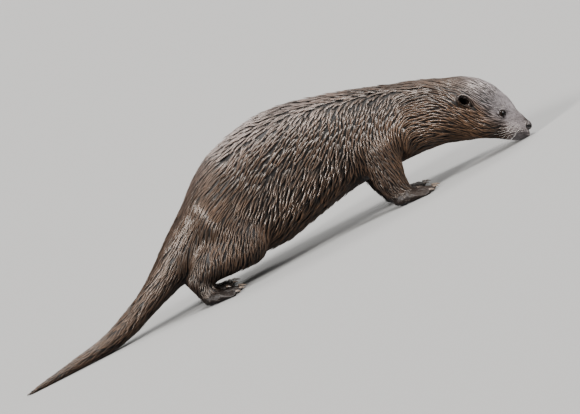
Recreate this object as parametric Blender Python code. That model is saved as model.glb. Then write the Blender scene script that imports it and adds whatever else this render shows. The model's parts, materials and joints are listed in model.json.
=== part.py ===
"""A river otter (Eurasian otter, Lutra lutra), life size, walking with its nose near the ground.

The animal faces +X, its left side is +Y, and it stands on the floor at Z = 0.
The origin lies on the floor under the middle of its length.
The outline is that of the coat's tips.  The body is modelled whole: a loft along the
spine, joined with limbs and the fuller forms of the head, then parted by thin plane
cuts into head, neck, trunk, tail, legs and feet.  Ears, eyes, nose and claws are
solids of their own.
Lengths are written in millimetres and turned into metres where the mesh is made.
"""
import math

import bmesh
import bpy
from mathutils import Matrix, Vector

MM = 0.001
GAP = 0.3               # space left between touching pieces

# Driving sizes of the animal.
RING_SIDES = 40         # points round each ring of the body
RING_SQUARENESS = 2.25  # 2 is an ellipse, more is boxier
RINGS_PER_SPAN = 4      # rings between two stations of the spine
SOLE_LEVEL = 0.0        # all that touches the floor is cut flat here
VOXEL = 2.6             # grain of the joined body
BODY_TRIANGLES = 3000   # faces kept on the joined body
BALL_DETAIL = 4         # subdivisions of the round forms that the body is joined from
SMALL_DETAIL = 3        # the same for ears, eyes and nose

# The spine, from nose to tail tip.  Each station is
# (x, z, nose-down pitch in degrees, half depth, half width, belly fullness).
# Belly fullness widens the lower half of the ring and narrows the upper half.
SPINE = (
    ("nose_end", 429.0, 12.0, 50, 3.0, 4.0, 0.00),
    ("nose_pad", 425.6, 12.6, 50, 8.0, 7.5, 0.10),
    ("lips", 419.5, 14.0, 50, 14.0, 12.0, 0.25),
    ("whisker_pads", 411.0, 18.5, 50, 18.5, 19.5, 0.22),
    ("muzzle", 405.0, 25.0, 50, 21.5, 25.5, 0.16),
    ("muzzle_root", 400.0, 32.5, 50, 25.5, 27.0, 0.12),
    ("eyes", 393.5, 42.0, 50, 31.5, 31.0, 0.14),
    ("brow", 386.5, 51.0, 49, 36.0, 36.5, 0.14),
    ("cheeks", 377.5, 61.5, 46, 41.0, 43.5, 0.12),
    ("jaw_angle", 366.5, 71.5, 39, 46.0, 46.5, 0.08),
    ("ears", 351.0, 82.0, 30, 48.5, 47.5, 0.02),
    ("nape", 329.0, 91.5, 22, 50.5, 47.5, 0.00),
    ("neck", 300.5, 101.0, 16, 53.5, 49.5, 0.02),
    ("neck_base", 271.0, 107.5, 14, 57.5, 54.0, 0.04),
    ("shoulders", 241.5, 113.5, 12, 62.5, 60.0, 0.06),
    ("withers", 207.0, 119.0, 10, 68.5, 65.0, 0.06),
    ("chest", 173.0, 125.5, 7, 74.0, 68.0, 0.06),
    ("ribs", 133.0, 129.0, 3, 82.0, 71.0, 0.06),
    ("waist", 93.0, 129.8, -2, 90.0, 73.5, 0.06),
    ("loin", 53.5, 125.5, -9, 92.5, 75.5, 0.05),
    ("croup", 13.5, 115.5, -15, 91.0, 75.5, 0.03),
    ("hips", -25.0, 105.5, -18, 81.5, 72.5, 0.00),
    ("rump", -53.0, 97.0, -19, 70.0, 66.0, 0.00),
    ("seat", -80.0, 89.5, -18, 57.5, 57.5, 0.00),
    ("tail_root", -105.5, 83.5, -16, 47.5, 48.5, 0.00),
    ("tail_set", -130.0, 76.5, -18, 37.0, 40.0, 0.00),
    ("tail_thick", -153.0, 67.5, -23, 28.5, 34.0, 0.00),
    ("tail_upper", -179.0, 53.8, -26, 22.8, 29.5, 0.00),
    ("tail_middle", -211.0, 39.2, -25, 19.0, 25.5, 0.00),
    ("tail_lower", -247.5, 24.2, -21, 17.2, 22.0, 0.00),
    ("tail_floor", -286.0, 13.8, -12, 14.6, 18.5, 0.00),
    ("tail_flat", -325.5, 9.9, -4, 11.1, 14.5, 0.00),
    ("tail_thin", -365.5, 6.7, -3, 7.9, 10.0, 0.00),
    ("tail_end", -400.5, 4.2, -3, 5.2, 6.4, 0.00),
    ("tail_tip", -429.0, 2.2, -2, 2.2, 2.6, 0.00),
)

# The face has axes of its own: forward along the muzzle, side, and up, from the point
# midway between the eyes.
EYES_MIDDLE = Vector((396.5, 0.0, 52.5))
FACE_PITCH = math.radians(50)
FACE_FORWARD = Vector((math.cos(FACE_PITCH), 0.0, -math.sin(FACE_PITCH)))
FACE_UP = Vector((math.sin(FACE_PITCH), 0.0, math.cos(FACE_PITCH)))

# Fuller forms of the head, one side: (forward, side, up), (radii in the same order).
HEAD_FORMS = (
    ("whisker_pad", (32.5, 12.5, -11.0), (13.5, 12.5, 10.5)),
    ("upper_lip", (22.0, 16.5, -16.0), (16.0, 11.0, 12.0)),
    ("chin", (32.0, 4.0, -22.0), (13.0, 11.0, 8.5)),
    ("cheek", (-24.0, 29.0, -22.0), (30.0, 18.0, 26.0)),
    ("brow_ridge", (-3.0, 19.5, 5.0), (14.0, 11.0, 10.5)),
    ("bridge", (22.0, 4.0, 2.0), (19.0, 11.0, 9.5)),
)

EYE_RADIUS = 6.8
EYE_PLACE = (0.5, 26.2, 0.5)

NOSE_PLACE = (44.3, 0.0, -1.8)
NOSE_RADII = (9.8, 12.8, 8.2)

EAR_PLACE = Vector((355.5, 45.5, 96.5))
EAR_RADII = (11.5, 8.5, 7.5)    # along its base, outwards, front to back
EAR_LEAN = math.radians(35)     # its base line leans back from the vertical
EAR_CUP_SHIFT = (1.0, 5.6, 4.4)
EAR_CUP_SCALE = 0.80

LEFT_LAG = 7.0          # the left limbs stand this far behind the right ones

# Limbs, one side.  Each form runs between two ellipsoids: (place), (radii).
FORELEG = (
    (((236.0, 34.0, 116.0), (31.0, 24.0, 36.0)), ((206.0, 48.0, 88.0), (32.0, 20.0, 32.0))),
    (((206.0, 48.0, 88.0), (32.0, 20.0, 32.0)), ((204.0, 48.0, 44.0), (24.5, 18.0, 20.0))),
    (((204.0, 48.0, 44.0), (24.5, 18.0, 20.0)), ((208.0, 47.0, 19.0), (18.0, 15.5, 14.0))),
)
HIND_LEG = (
    (((-42.0, 34.0, 116.0), (48.0, 38.0, 50.0)), ((-30.0, 54.0, 62.0), (36.0, 24.0, 36.0))),
    (((-30.0, 54.0, 60.0), (34.0, 23.0, 36.0)), ((-92.0, 52.0, 54.0), (26.0, 20.0, 26.0))),
    (((-92.0, 52.0, 54.0), (26.0, 20.0, 26.0)), ((-121.0, 50.0, 42.0), (16.5, 14.0, 17.0))),
    (((-121.0, 50.0, 42.0), (16.5, 14.0, 17.0)), ((-112.0, 51.0, 13.0), (13.5, 14.5, 12.0))),
)

# A foot: its palm or ball, and five toes that fan out from it.
# Toes are numbered from the inner side of the foot.
TOE_COUNT = 5
FORE_FOOT = {
    "palm": ((212.0, 47.0, 9.5), (20.0, 19.0, 11.0)),
    "toe_root_x": 222.0, "toe_tip_x": 256.0, "middle_y": 48.0,
    "root_spread": 14.0, "tip_spread": 25.0, "toe_arch": 11.0,
    "root_radii": (8.0, 6.2, 8.5), "tip_radii": (6.0, 5.0, 5.6),
}
HIND_FOOT = {
    "palm": ((-111.0, 51.0, 9.5), (16.5, 18.0, 11.0)),
    "toe_root_x": -103.0, "toe_tip_x": -69.0, "middle_y": 53.0,
    "root_spread": 14.0, "tip_spread": 30.0, "toe_arch": 10.0,
    "root_radii": (8.5, 6.4, 8.5), "tip_radii": (6.2, 5.2, 5.6),
}
TOE_ROOT_Z = 7.6
TOE_TIP_Z = 4.9
TOE_CURVE = 1.6         # how quickly the outer toes fall back; 1 is a straight slant
INNER_TOE_LAG = 4.0     # the inner toe is the shortest
KNUCKLE_AT = 0.55       # along the toe
KNUCKLE_RISE = 1.6
WEB_REACH = 0.75        # how far along the toes the webs go
WEB_HALF_THICKNESS = 2.4
CLAW_LENGTH = 8.5
CLAW_START = 3.0        # ahead of the middle of the toe's tip
CLAW_RISE = 1.7
CLAW_BEND = (0.55, -0.6)    # part of its length, and how far it has dropped there
CLAW_DROP = 2.9
CLAW_RADII = (1.9, 1.3, 0.6)
CLAW_VOXEL = 0.45
CLAW_TRIANGLES = 36

# Where the limbs part from the body: (back, front, top) of each foot's space, and
# (back, front, low end, high end) of each leg's, whose inner face slants in (y, z).
FORE_FOOT_SPACE = (150.0, 285.0, 24.0)
HIND_FOOT_SPACE = (-150.0, -52.0, 20.0)
FORELEG_SPACE = (160.0, 252.0, (10.0, 38.0), (74.0, 128.0))
HIND_LEG_SPACE = (-146.0, 6.0, (12.0, 24.0), (84.0, 140.0))
HOCK_ROOF = (((-142.0, 0.0, 60.0), (-0.45, 0.0, 0.89)),)    # keeps the tail out of the hind leg

# Where the body parts across the spine, from the head back: (x, z, nose-down pitch).
SPINE_CUTS = (
    ("head", (333.0, 90.0, 24.0)),
    ("neck", (266.0, 108.5, 14.0)),
    ("chest", (122.0, 129.5, 2.0)),
    ("belly", (8.0, 117.5, -15.0)),
    ("rump", (-124.0, 78.5, -18.0)),
    ("tail_base", (-228.0, 32.0, -24.0)),
    ("tail_middle", (-330.0, 9.5, -4.0)),
)

# Colours of the coat and bare parts (linear RGB), roughness.
COAT_BROWN = ((0.072, 0.048, 0.036), 0.55)
THROAT_BROWN = ((0.115, 0.076, 0.052), 0.60)
TAIL_BROWN = ((0.060, 0.043, 0.035), 0.50)
FOOT_BROWN = ((0.055, 0.040, 0.034), 0.45)
EAR_BROWN = ((0.050, 0.034, 0.027), 0.60)
NOSE_BLACK = ((0.018, 0.016, 0.016), 0.38)
EYE_BLACK = ((0.006, 0.004, 0.003), 0.06)
CLAW_HORN = ((0.150, 0.110, 0.085), 0.35)


def clear_scene():
    for thing in list(bpy.data.objects):
        bpy.data.objects.remove(thing, do_unlink=True)


def material(name, finish):
    colour, roughness = finish
    made = bpy.data.materials.new(name)
    made.use_nodes = True
    shader = made.node_tree.nodes["Principled BSDF"]
    shader.inputs["Base Color"].default_value = (*colour, 1.0)
    shader.inputs["Roughness"].default_value = roughness
    shader.inputs["Metallic"].default_value = 0.0
    return made


def face_point(forward, side, up):
    """A point of the head, given on the face's own axes."""
    return EYES_MIDDLE + FACE_FORWARD * forward + Vector((0.0, side, 0.0)) + FACE_UP * up


def face_turn():
    """The rotation that takes X, Y, Z to the face's forward, side and up."""
    side = FACE_UP.cross(FACE_FORWARD)
    return Matrix((FACE_FORWARD, side, FACE_UP)).transposed()


def object_from(name, bm):
    """Turn a bmesh in millimetres into an object in metres."""
    bmesh.ops.scale(bm, vec=(MM, MM, MM), verts=bm.verts)
    bmesh.ops.recalc_face_normals(bm, faces=bm.faces)
    mesh = bpy.data.meshes.new(name)
    bm.to_mesh(mesh)
    bm.free()
    made = bpy.data.objects.new(name, mesh)
    bpy.context.collection.objects.link(made)
    return made


def apply_modifiers(thing):
    """Replace an object's mesh by what its modifiers make of it."""
    graph = bpy.context.evaluated_depsgraph_get()
    result = bpy.data.meshes.new_from_object(thing.evaluated_get(graph))
    thing.modifiers.clear()
    thing.data = result


def discard(thing):
    bpy.data.objects.remove(thing, do_unlink=True)


def combine(target, tool, operation):
    """Boolean the tool into the target."""
    step = target.modifiers.new("combine", "BOOLEAN")
    step.operation = operation
    step.object = tool
    step.solver = "EXACT"
    apply_modifiers(target)


def drop_crumbs(thing):
    """Keep only the largest closed piece of a mesh."""
    bm = bmesh.new()
    bm.from_mesh(thing.data)
    unseen = set(bm.verts)
    pieces = []
    while unseen:
        piece = set()
        waiting = [unseen.pop()]
        while waiting:
            vertex = waiting.pop()
            piece.add(vertex)
            for edge in vertex.link_edges:
                other = edge.other_vert(vertex)
                if other in unseen:
                    unseen.remove(other)
                    waiting.append(other)
        pieces.append(piece)
    largest = max(pieces, key=len)
    crumbs = [vertex for vertex in bm.verts if vertex not in largest]
    bmesh.ops.delete(bm, geom=crumbs, context="VERTS")
    bm.to_mesh(thing.data)
    bm.free()


def copy_of(thing, name):
    made = thing.copy()
    made.data = thing.data.copy()
    made.name = name
    bpy.context.collection.objects.link(made)
    return made


def inflate(thing, distance):
    """Push a mesh outwards by a small distance."""
    normals = [vertex.normal.copy() for vertex in thing.data.vertices]
    for vertex, normal in zip(thing.data.vertices, normals):
        vertex.co += normal * distance * MM


def smooth_between(before, start, end, after, t):
    """Catmull-Rom value at t between start and end."""
    return 0.5 * (
        2 * start
        + (end - before) * t
        + (2 * before - 5 * start + 4 * end - after) * t * t
        + (3 * start - before - 3 * end + after) * t * t * t
    )


def spine_rings():
    """The spine's stations with smooth steps between them."""
    rows = [station[1:] for station in SPINE]
    rings = []
    for i in range(len(rows) - 1):
        before = rows[max(i - 1, 0)]
        after = rows[min(i + 2, len(rows) - 1)]
        for step in range(RINGS_PER_SPAN):
            t = step / RINGS_PER_SPAN
            columns = zip(before, rows[i], rows[i + 1], after)
            rings.append([smooth_between(a, b, c, d, t) for a, b, c, d in columns])
    rings.append(rows[-1])
    return rings


def add_body_loft(bm):
    """The head, neck, trunk and tail as one closed loft."""
    previous = None
    for x, z, pitch, half_depth, half_width, fullness in spine_rings():
        lean = math.radians(pitch)
        up = Vector((math.sin(lean), 0.0, math.cos(lean)))
        ring = []
        for k in range(RING_SIDES):
            angle = 2 * math.pi * k / RING_SIDES
            c = math.cos(angle)
            s = math.sin(angle)
            side = math.copysign(abs(c) ** (2 / RING_SQUARENESS), c)
            height = math.copysign(abs(s) ** (2 / RING_SQUARENESS), s)
            place = Vector((x, 0.0, z)) + up * (half_depth * height)
            place.y = half_width * side * (1 - fullness * height)
            ring.append(bm.verts.new(place))
        if previous:
            for k in range(RING_SIDES):
                n = (k + 1) % RING_SIDES
                bm.faces.new((previous[k], previous[n], ring[n], ring[k]))
        else:
            bm.faces.new(ring)
        previous = ring
    bm.faces.new(previous)


def ellipsoid_points(centre, radii, turn=None, detail=BALL_DETAIL):
    """Points all over an ellipsoid."""
    ball = bmesh.new()
    bmesh.ops.create_icosphere(ball, subdivisions=detail, radius=1.0)
    points = []
    for vertex in ball.verts:
        offset = Vector(a * r for a, r in zip(vertex.co, radii))
        points.append(Vector(centre) + (turn @ offset if turn else offset))
    ball.free()
    return points


def add_hull(bm, points):
    """Add the closed convex form round some points."""
    verts = [bm.verts.new(point) for point in points]
    result = bmesh.ops.convex_hull(bm, input=verts, use_existing_faces=False)
    loose = {item for item in result["geom_interior"] if isinstance(item, bmesh.types.BMVert)}
    loose |= {item for item in result["geom_unused"] if isinstance(item, bmesh.types.BMVert)}
    bmesh.ops.delete(bm, geom=list(loose), context="VERTS")


def on_side(place, side):
    """A place on a limb, for the left side (+1) or the right (-1)."""
    lag = LEFT_LAG if side > 0 else 0.0
    return (place[0] - lag, place[1] * side, place[2])


def add_form(bm, start, end, side):
    """A limb's stretch between two ellipsoids, on the side given by +1 or -1."""
    points = []
    for place, radii in (start, end):
        points += ellipsoid_points(on_side(place, side), radii)
    add_hull(bm, points)


def toe_line(foot, number, side):
    """Where a toe starts and ends: toe 0 is the inner one, the middle toes reach furthest."""
    across = 2 * number / (TOE_COUNT - 1) - 1
    back = foot["toe_arch"] * abs(across) ** TOE_CURVE
    inner_lag = INNER_TOE_LAG if number == 0 else 0.0
    root_y = foot["middle_y"] + foot["root_spread"] * across
    tip_y = foot["middle_y"] + foot["tip_spread"] * across
    root = (foot["toe_root_x"] - 0.3 * back, root_y, TOE_ROOT_Z)
    tip = (foot["toe_tip_x"] - back - inner_lag, tip_y, TOE_TIP_Z)
    return Vector(on_side(root, side)), Vector(on_side(tip, side))


def add_foot(bm, foot, side):
    """Palm, five toes and the webs between them."""
    add_hull(bm, ellipsoid_points(on_side(foot["palm"][0], side), foot["palm"][1]))
    lines = [toe_line(foot, number, side) for number in range(TOE_COUNT)]
    for root, tip in lines:
        knuckle = root.lerp(tip, KNUCKLE_AT) + Vector((0.0, 0.0, KNUCKLE_RISE))
        first = ellipsoid_points(root, foot["root_radii"])
        middle = ellipsoid_points(knuckle, foot["tip_radii"])
        last = ellipsoid_points(tip, foot["tip_radii"])
        add_hull(bm, first + middle)
        add_hull(bm, middle + last)
    web = (WEB_HALF_THICKNESS,) * 3
    for (root, tip), (next_root, next_tip) in zip(lines, lines[1:]):
        corners = (root, next_root, root.lerp(tip, WEB_REACH), next_root.lerp(next_tip, WEB_REACH))
        points = []
        for corner in corners:
            points += ellipsoid_points((corner.x, corner.y, WEB_HALF_THICKNESS), web)
        add_hull(bm, points)


def whole_body():
    """The body in one closed skin, cut flat where it meets the floor."""
    bm = bmesh.new()
    add_body_loft(bm)
    turn = face_turn()
    for side in (-1, 1):
        for _, place, radii in HEAD_FORMS:
            centre = face_point(place[0], place[1] * side, place[2])
            add_hull(bm, ellipsoid_points(centre, radii, turn))
        for start, end in FORELEG + HIND_LEG:
            add_form(bm, start, end, side)
        add_foot(bm, FORE_FOOT, side)
        add_foot(bm, HIND_FOOT, side)
    body = object_from("body", bm)
    join = body.modifiers.new("join", "REMESH")
    join.mode = "VOXEL"
    join.voxel_size = VOXEL * MM
    soften = body.modifiers.new("soften", "SMOOTH")
    soften.factor = 0.5
    soften.iterations = 5
    apply_modifiers(body)
    reduce_faces(body, BODY_TRIANGLES)
    cut_flat(body)
    return body


def reduce_faces(thing, wanted):
    """Collapse the flattest stretches until about the wanted number of triangles is left."""
    triangles = sum(len(polygon.vertices) - 2 for polygon in thing.data.polygons)
    collapse = thing.modifiers.new("collapse", "DECIMATE")
    collapse.ratio = wanted / triangles
    collapse.use_collapse_triangulate = True
    apply_modifiers(thing)


def cut_flat(body):
    """Cut the soles and the underside of the tail level with the floor."""
    bm = bmesh.new()
    bm.from_mesh(body.data)
    cut = bmesh.ops.bisect_plane(
        bm, geom=bm.verts[:] + bm.edges[:] + bm.faces[:], dist=1e-6,
        plane_co=(0.0, 0.0, SOLE_LEVEL), plane_no=(0.0, 0.0, -1.0), clear_outer=True)
    rim = [item for item in cut["geom_cut"] if isinstance(item, bmesh.types.BMEdge)]
    bmesh.ops.holes_fill(bm, edges=rim)
    bmesh.ops.triangulate(bm, faces=[face for face in bm.faces if len(face.verts) > 4])
    bmesh.ops.recalc_face_normals(bm, faces=bm.faces)
    bm.to_mesh(body.data)
    bm.free()


def region(planes, growth=0.0):
    """A block bounded by planes, each a point and an outward direction."""
    reach = 700.0
    bm = bmesh.new()
    bmesh.ops.create_cube(bm, size=2 * reach)
    for point, outward in planes:
        direction = Vector(outward).normalized()
        cut = bmesh.ops.bisect_plane(
            bm, geom=bm.verts[:] + bm.edges[:] + bm.faces[:], dist=1e-4,
            plane_co=Vector(point) + direction * growth, plane_no=direction, clear_outer=True)
        rim = [item for item in cut["geom_cut"] if isinstance(item, bmesh.types.BMEdge)]
        if rim:
            bmesh.ops.contextual_create(bm, geom=rim)
    return object_from("region", bm)


def split_off(body, name, planes):
    """Part the piece inside some planes from the body, with a thin gap."""
    piece = copy_of(body, name)
    inside = region(planes)
    combine(piece, inside, "INTERSECT")
    discard(inside)
    around = region(planes, GAP)
    combine(body, around, "DIFFERENCE")
    discard(around)
    return piece


def foot_planes(back, front, top, side):
    """The space that holds one foot."""
    return (
        ((0.0, 4.0 * side, 0.0), (0.0, -side, 0.0)),
        ((back, 0.0, 0.0), (-1.0, 0.0, 0.0)),
        ((front, 0.0, 0.0), (1.0, 0.0, 0.0)),
        ((0.0, 0.0, top), (0.0, 0.0, 1.0)),
    )


def leg_planes(back, front, low, high, side):
    """The space that holds one leg: outside and below a plane that slants up and out.

    low and high are the (y, z) ends of that slant.
    """
    rise = high[1] - low[1]
    out = high[0] - low[0]
    return (
        ((0.0, low[0] * side, low[1]), (0.0, -rise * side, out)),
        ((back, 0.0, 0.0), (-1.0, 0.0, 0.0)),
        ((front, 0.0, 0.0), (1.0, 0.0, 0.0)),
    )


def spine_plane(x, z, pitch):
    """Everything in front of a plane square to the spine."""
    lean = math.radians(pitch)
    return (((x, 0.0, z), (-math.cos(lean), 0.0, math.sin(lean))),)


def paint(thing, finish):
    thing.data.materials.clear()
    thing.data.materials.append(finish)


def shade_round(thing):
    thing.data.shade_smooth()
    thing.data.set_sharp_from_angle(angle=math.radians(50))


def make_eye(side):
    bm = bmesh.new()
    bmesh.ops.create_icosphere(bm, subdivisions=SMALL_DETAIL, radius=EYE_RADIUS)
    eye = object_from("eye_" + side_name(side), bm)
    forward, out, up = EYE_PLACE
    eye.data.transform(Matrix.Translation(face_point(forward, out * side, up) * MM))
    return eye


def make_nose():
    bm = bmesh.new()
    add_hull(bm, ellipsoid_points(face_point(*NOSE_PLACE), NOSE_RADII, face_turn(), SMALL_DETAIL))
    return object_from("nose", bm)


def ear_turn(side):
    """Axes of an ear: along its base, outwards, and back."""
    along = Vector((-math.sin(EAR_LEAN), 0.0, math.cos(EAR_LEAN)))
    outward = Vector((0.35, 0.94 * side, 0.0)).normalized()
    outward = (outward - along * outward.dot(along)).normalized()
    forward = along.cross(outward) * -side
    return Matrix((along, outward, forward)).transposed()


def make_ear(side, body):
    """A small rounded cup, open to the front and side, trimmed to the head."""
    turn = ear_turn(side)
    centre = Vector((EAR_PLACE.x, EAR_PLACE.y * side, EAR_PLACE.z))
    bm = bmesh.new()
    add_hull(bm, ellipsoid_points(centre, EAR_RADII, turn, SMALL_DETAIL))
    ear = object_from("ear_" + side_name(side), bm)
    bm = bmesh.new()
    cup_centre = centre + turn @ Vector(EAR_CUP_SHIFT)
    cup_radii = [radius * EAR_CUP_SCALE for radius in EAR_RADII]
    add_hull(bm, ellipsoid_points(cup_centre, cup_radii, turn, SMALL_DETAIL - 1))
    cup = object_from("cup", bm)
    combine(ear, cup, "DIFFERENCE")
    discard(cup)
    combine(ear, body, "DIFFERENCE")
    drop_crumbs(ear)
    return ear


def make_claw(name, foot, number, side, body):
    """A short blunt claw that grows from the tip of a toe."""
    root, tip = toe_line(foot, number, side)
    ahead = (tip - root)
    ahead.z = 0.0
    ahead.normalize()
    start = tip + ahead * CLAW_START + Vector((0.0, 0.0, CLAW_RISE))
    bend = start + ahead * CLAW_BEND[0] * CLAW_LENGTH + Vector((0.0, 0.0, CLAW_BEND[1]))
    point = start + ahead * CLAW_LENGTH - Vector((0.0, 0.0, CLAW_DROP))
    places = (start, bend, point)
    bm = bmesh.new()
    for (a, ra), (b, rb) in zip(zip(places, CLAW_RADII), zip(places[1:], CLAW_RADII[1:])):
        add_hull(bm, small_ball(a, ra) + small_ball(b, rb))
    claw = object_from(name, bm)
    join = claw.modifiers.new("join", "REMESH")
    join.mode = "VOXEL"
    join.voxel_size = CLAW_VOXEL * MM
    apply_modifiers(claw)
    reduce_faces(claw, CLAW_TRIANGLES)
    combine(claw, body, "DIFFERENCE")
    return claw


def small_ball(centre, radius):
    ball = bmesh.new()
    bmesh.ops.create_icosphere(ball, subdivisions=1, radius=radius)
    points = [vertex.co + centre for vertex in ball.verts]
    ball.free()
    return points


def side_name(side):
    return "left" if side > 0 else "right"


def build():
    clear_scene()
    coat = material("coat", COAT_BROWN)
    throat = material("throat", THROAT_BROWN)
    tail = material("tail_coat", TAIL_BROWN)
    bare = material("foot_skin", FOOT_BROWN)
    ear_skin = material("ear_skin", EAR_BROWN)
    nose_skin = material("nose_skin", NOSE_BLACK)
    eye_gloss = material("eye", EYE_BLACK)
    horn = material("claw", CLAW_HORN)

    body = whole_body()

    nose = make_nose()
    paint(nose, nose_skin)
    socket = copy_of(nose, "socket")
    inflate(socket, GAP)
    combine(body, socket, "DIFFERENCE")
    discard(socket)

    for side in (-1, 1):
        eye = make_eye(side)
        paint(eye, eye_gloss)
        socket = copy_of(eye, "socket")
        inflate(socket, GAP)
        combine(body, socket, "DIFFERENCE")
        discard(socket)
        shade_round(eye)
    shade_round(nose)

    swollen = copy_of(body, "swollen")
    inflate(swollen, GAP)
    for side in (-1, 1):
        ear = make_ear(side, swollen)
        paint(ear, ear_skin)
        shade_round(ear)
        for label, foot in (("fore", FORE_FOOT), ("hind", HIND_FOOT)):
            for number in range(TOE_COUNT):
                name = f"claw_{label}_{side_name(side)}_{number + 1}"
                claw = make_claw(name, foot, number, side, swollen)
                paint(claw, horn)
                shade_round(claw)
    discard(swollen)

    for side in (-1, 1):
        end = side_name(side)
        limbs = (
            ("foot_fore_", foot_planes(*FORE_FOOT_SPACE, side), bare),
            ("foot_hind_", foot_planes(*HIND_FOOT_SPACE, side), bare),
            ("leg_fore_", leg_planes(*FORELEG_SPACE, side), coat),
            ("leg_hind_", leg_planes(*HIND_LEG_SPACE, side) + HOCK_ROOF, coat),
        )
        for name, planes, finish in limbs:
            piece = split_off(body, name + end, planes)
            paint(piece, finish)
            shade_round(piece)

    finishes = {"neck": throat, "tail_base": tail, "tail_middle": tail}
    for name, place in SPINE_CUTS:
        piece = split_off(body, name, spine_plane(*place))
        paint(piece, finishes.get(name, coat))
        shade_round(piece)
    body.name = "tail_end"
    paint(body, tail)
    shade_round(body)


build()
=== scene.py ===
"""A river otter on its four feet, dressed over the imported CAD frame.

One skin stands for every node of flesh. A wet coat lies over it in locks that follow the lie of
the hair, each a bundle of strands, and each strand a closed solid blade. Eyes, nose, whiskers and
claws are pieces of their own. Lengths are in metres, +X is forward and +Z is up.
"""

import json
import math
from collections import namedtuple
from itertools import product

import bmesh
import bpy
import numpy as np
from mathutils import Matrix, Vector
from mathutils.bvhtree import BVHTree

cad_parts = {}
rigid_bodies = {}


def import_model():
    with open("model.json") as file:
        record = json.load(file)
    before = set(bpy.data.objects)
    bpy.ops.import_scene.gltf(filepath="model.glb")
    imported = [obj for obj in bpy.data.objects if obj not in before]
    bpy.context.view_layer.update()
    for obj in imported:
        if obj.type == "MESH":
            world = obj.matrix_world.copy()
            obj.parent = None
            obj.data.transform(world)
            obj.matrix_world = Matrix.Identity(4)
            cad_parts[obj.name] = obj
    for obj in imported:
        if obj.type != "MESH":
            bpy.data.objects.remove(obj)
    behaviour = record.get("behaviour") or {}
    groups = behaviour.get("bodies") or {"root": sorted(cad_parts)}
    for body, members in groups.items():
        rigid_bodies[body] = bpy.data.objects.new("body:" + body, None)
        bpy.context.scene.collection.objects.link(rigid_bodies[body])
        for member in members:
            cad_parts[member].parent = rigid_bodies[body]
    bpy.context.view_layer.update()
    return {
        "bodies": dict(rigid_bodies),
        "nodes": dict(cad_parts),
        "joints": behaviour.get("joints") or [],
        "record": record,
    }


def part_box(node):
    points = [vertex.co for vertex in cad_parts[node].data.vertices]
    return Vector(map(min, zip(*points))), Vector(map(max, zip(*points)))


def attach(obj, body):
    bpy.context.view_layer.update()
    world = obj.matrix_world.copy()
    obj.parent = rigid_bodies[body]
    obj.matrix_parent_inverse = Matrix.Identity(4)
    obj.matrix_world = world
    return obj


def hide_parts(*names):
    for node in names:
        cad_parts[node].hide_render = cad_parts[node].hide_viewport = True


MM = 0.001
SEED = 7
SIDES = (("left", 1.0), ("right", -1.0))
LIMBS = ("leg_fore_", "leg_hind_", "foot_fore_", "foot_hind_", "ear_")
TRUNK = ("head", "neck", "chest", "belly", "rump", "tail_base", "tail_middle", "tail_end")
FLESH = TRUNK + tuple(limb + side for limb in LIMBS for side, _ in SIDES)

# The skin: how it is joined from the frame's nodes.
CUT_CLOSING = 0.3 * MM      # each node grows by this, so that the thin cuts between them close
SKIN_VOXEL = 1.9 * MM
SKIN_SMOOTHING = 30
FOOT_SMOOTHING = 0.12       # the feet's share of it, which keeps their toes
EAR_CREST = 1.0             # radians from the ear's front to the highest part of its rim
HOLLOW_EDGE = 0.35          # the ear's inside is bare where its mark is over this
TOE_WIDTH = 3.1 * MM
FOLD_SMOOTHING = 70         # rounds that round off the fold between thigh and rump
FIELD_SPREAD = 60           # rounds that blend one region's coat into the next
FLOW_SPREAD = 30            # rounds that blend the lie of the hair
LIMB_SPREAD = 20            # rounds that blend the limbs' markings into the body's
SPINE_STEPS = 24            # points from one stop of the body's line to the next
ROWS_AT_ONCE = 20000        # vertices measured in one go, to save memory

# The coat of each region, in millimetres: how deep it is, how long its hair is, how wide each
# strand is and how far its locks stand apart; then how many times farther apart they stand along
# the hair, how far the strands of a lock draw to a point, how many degrees the hair turns from
# the body's line to the ground, how many strands a lock has, and in how many lengths each is drawn.
Fur = namedtuple("Fur", "depth length width spacing stretch gather turn strands steps")
SIZES = ("depth", "length", "width", "spacing")
COAT = {
    "head": Fur(2.2, 18.0, 0.62, 2.1, 3.2, 0.92, 8.0, 9.0, 3),
    "neck": Fur(4.2, 24.0, 0.98, 2.9, 2.8, 0.96, 14.0, 12.0, 3),
    "chest": Fur(5.6, 20.0, 1.30, 3.7, 2.3, 0.98, 46.0, 11.0, 4),
    "belly": Fur(6.0, 21.0, 1.35, 3.9, 2.3, 0.98, 34.0, 11.0, 4),
    "rump": Fur(3.6, 28.0, 0.78, 2.5, 3.4, 0.70, 20.0, 11.0, 3),
    "tail_base": Fur(3.0, 22.0, 0.85, 2.8, 3.0, 0.60, 5.0, 10.0, 3),
    "tail_middle": Fur(2.4, 17.0, 0.80, 2.5, 2.6, 0.50, 0.0, 8.0, 3),
    "tail_end": Fur(1.5, 11.0, 0.70, 2.1, 2.4, 0.45, 0.0, 6.0, 3),
    "leg_fore_": Fur(2.4, 13.0, 0.74, 2.4, 2.5, 0.80, 60.0, 9.0, 3),
    "leg_hind_": Fur(3.0, 16.0, 0.80, 2.7, 2.6, 0.82, 30.0, 9.0, 3),
    "foot_fore_": Fur(0.5, 4.0, 0.55, 2.2, 2.0, 0.20, 20.0, 3.0, 3),
    "foot_hind_": Fur(0.5, 4.0, 0.55, 2.2, 2.0, 0.20, 20.0, 3.0, 3),
    "ear_": Fur(0.5, 4.0, 0.50, 1.5, 2.0, 0.30, 0.0, 4.0, 3),
}
LOCK_TRIES = 7              # candidate places for each lock that finds room
NEAR_CELLS = tuple(product((-1, 0, 1), repeat=3))
PATH_STEPS = 4              # lengths along a lock's path
MOST_STRANDS = 14
LOCK_SPREAD = 0.60          # half of a lock's width, of the spacing across the hair
LOCK_LAG = 0.6              # how far its strands are strewn along the hair, of the spacing there
LOCK_ARCH = 0.34            # how far its middle stands over its edges, of the spacing across
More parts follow.
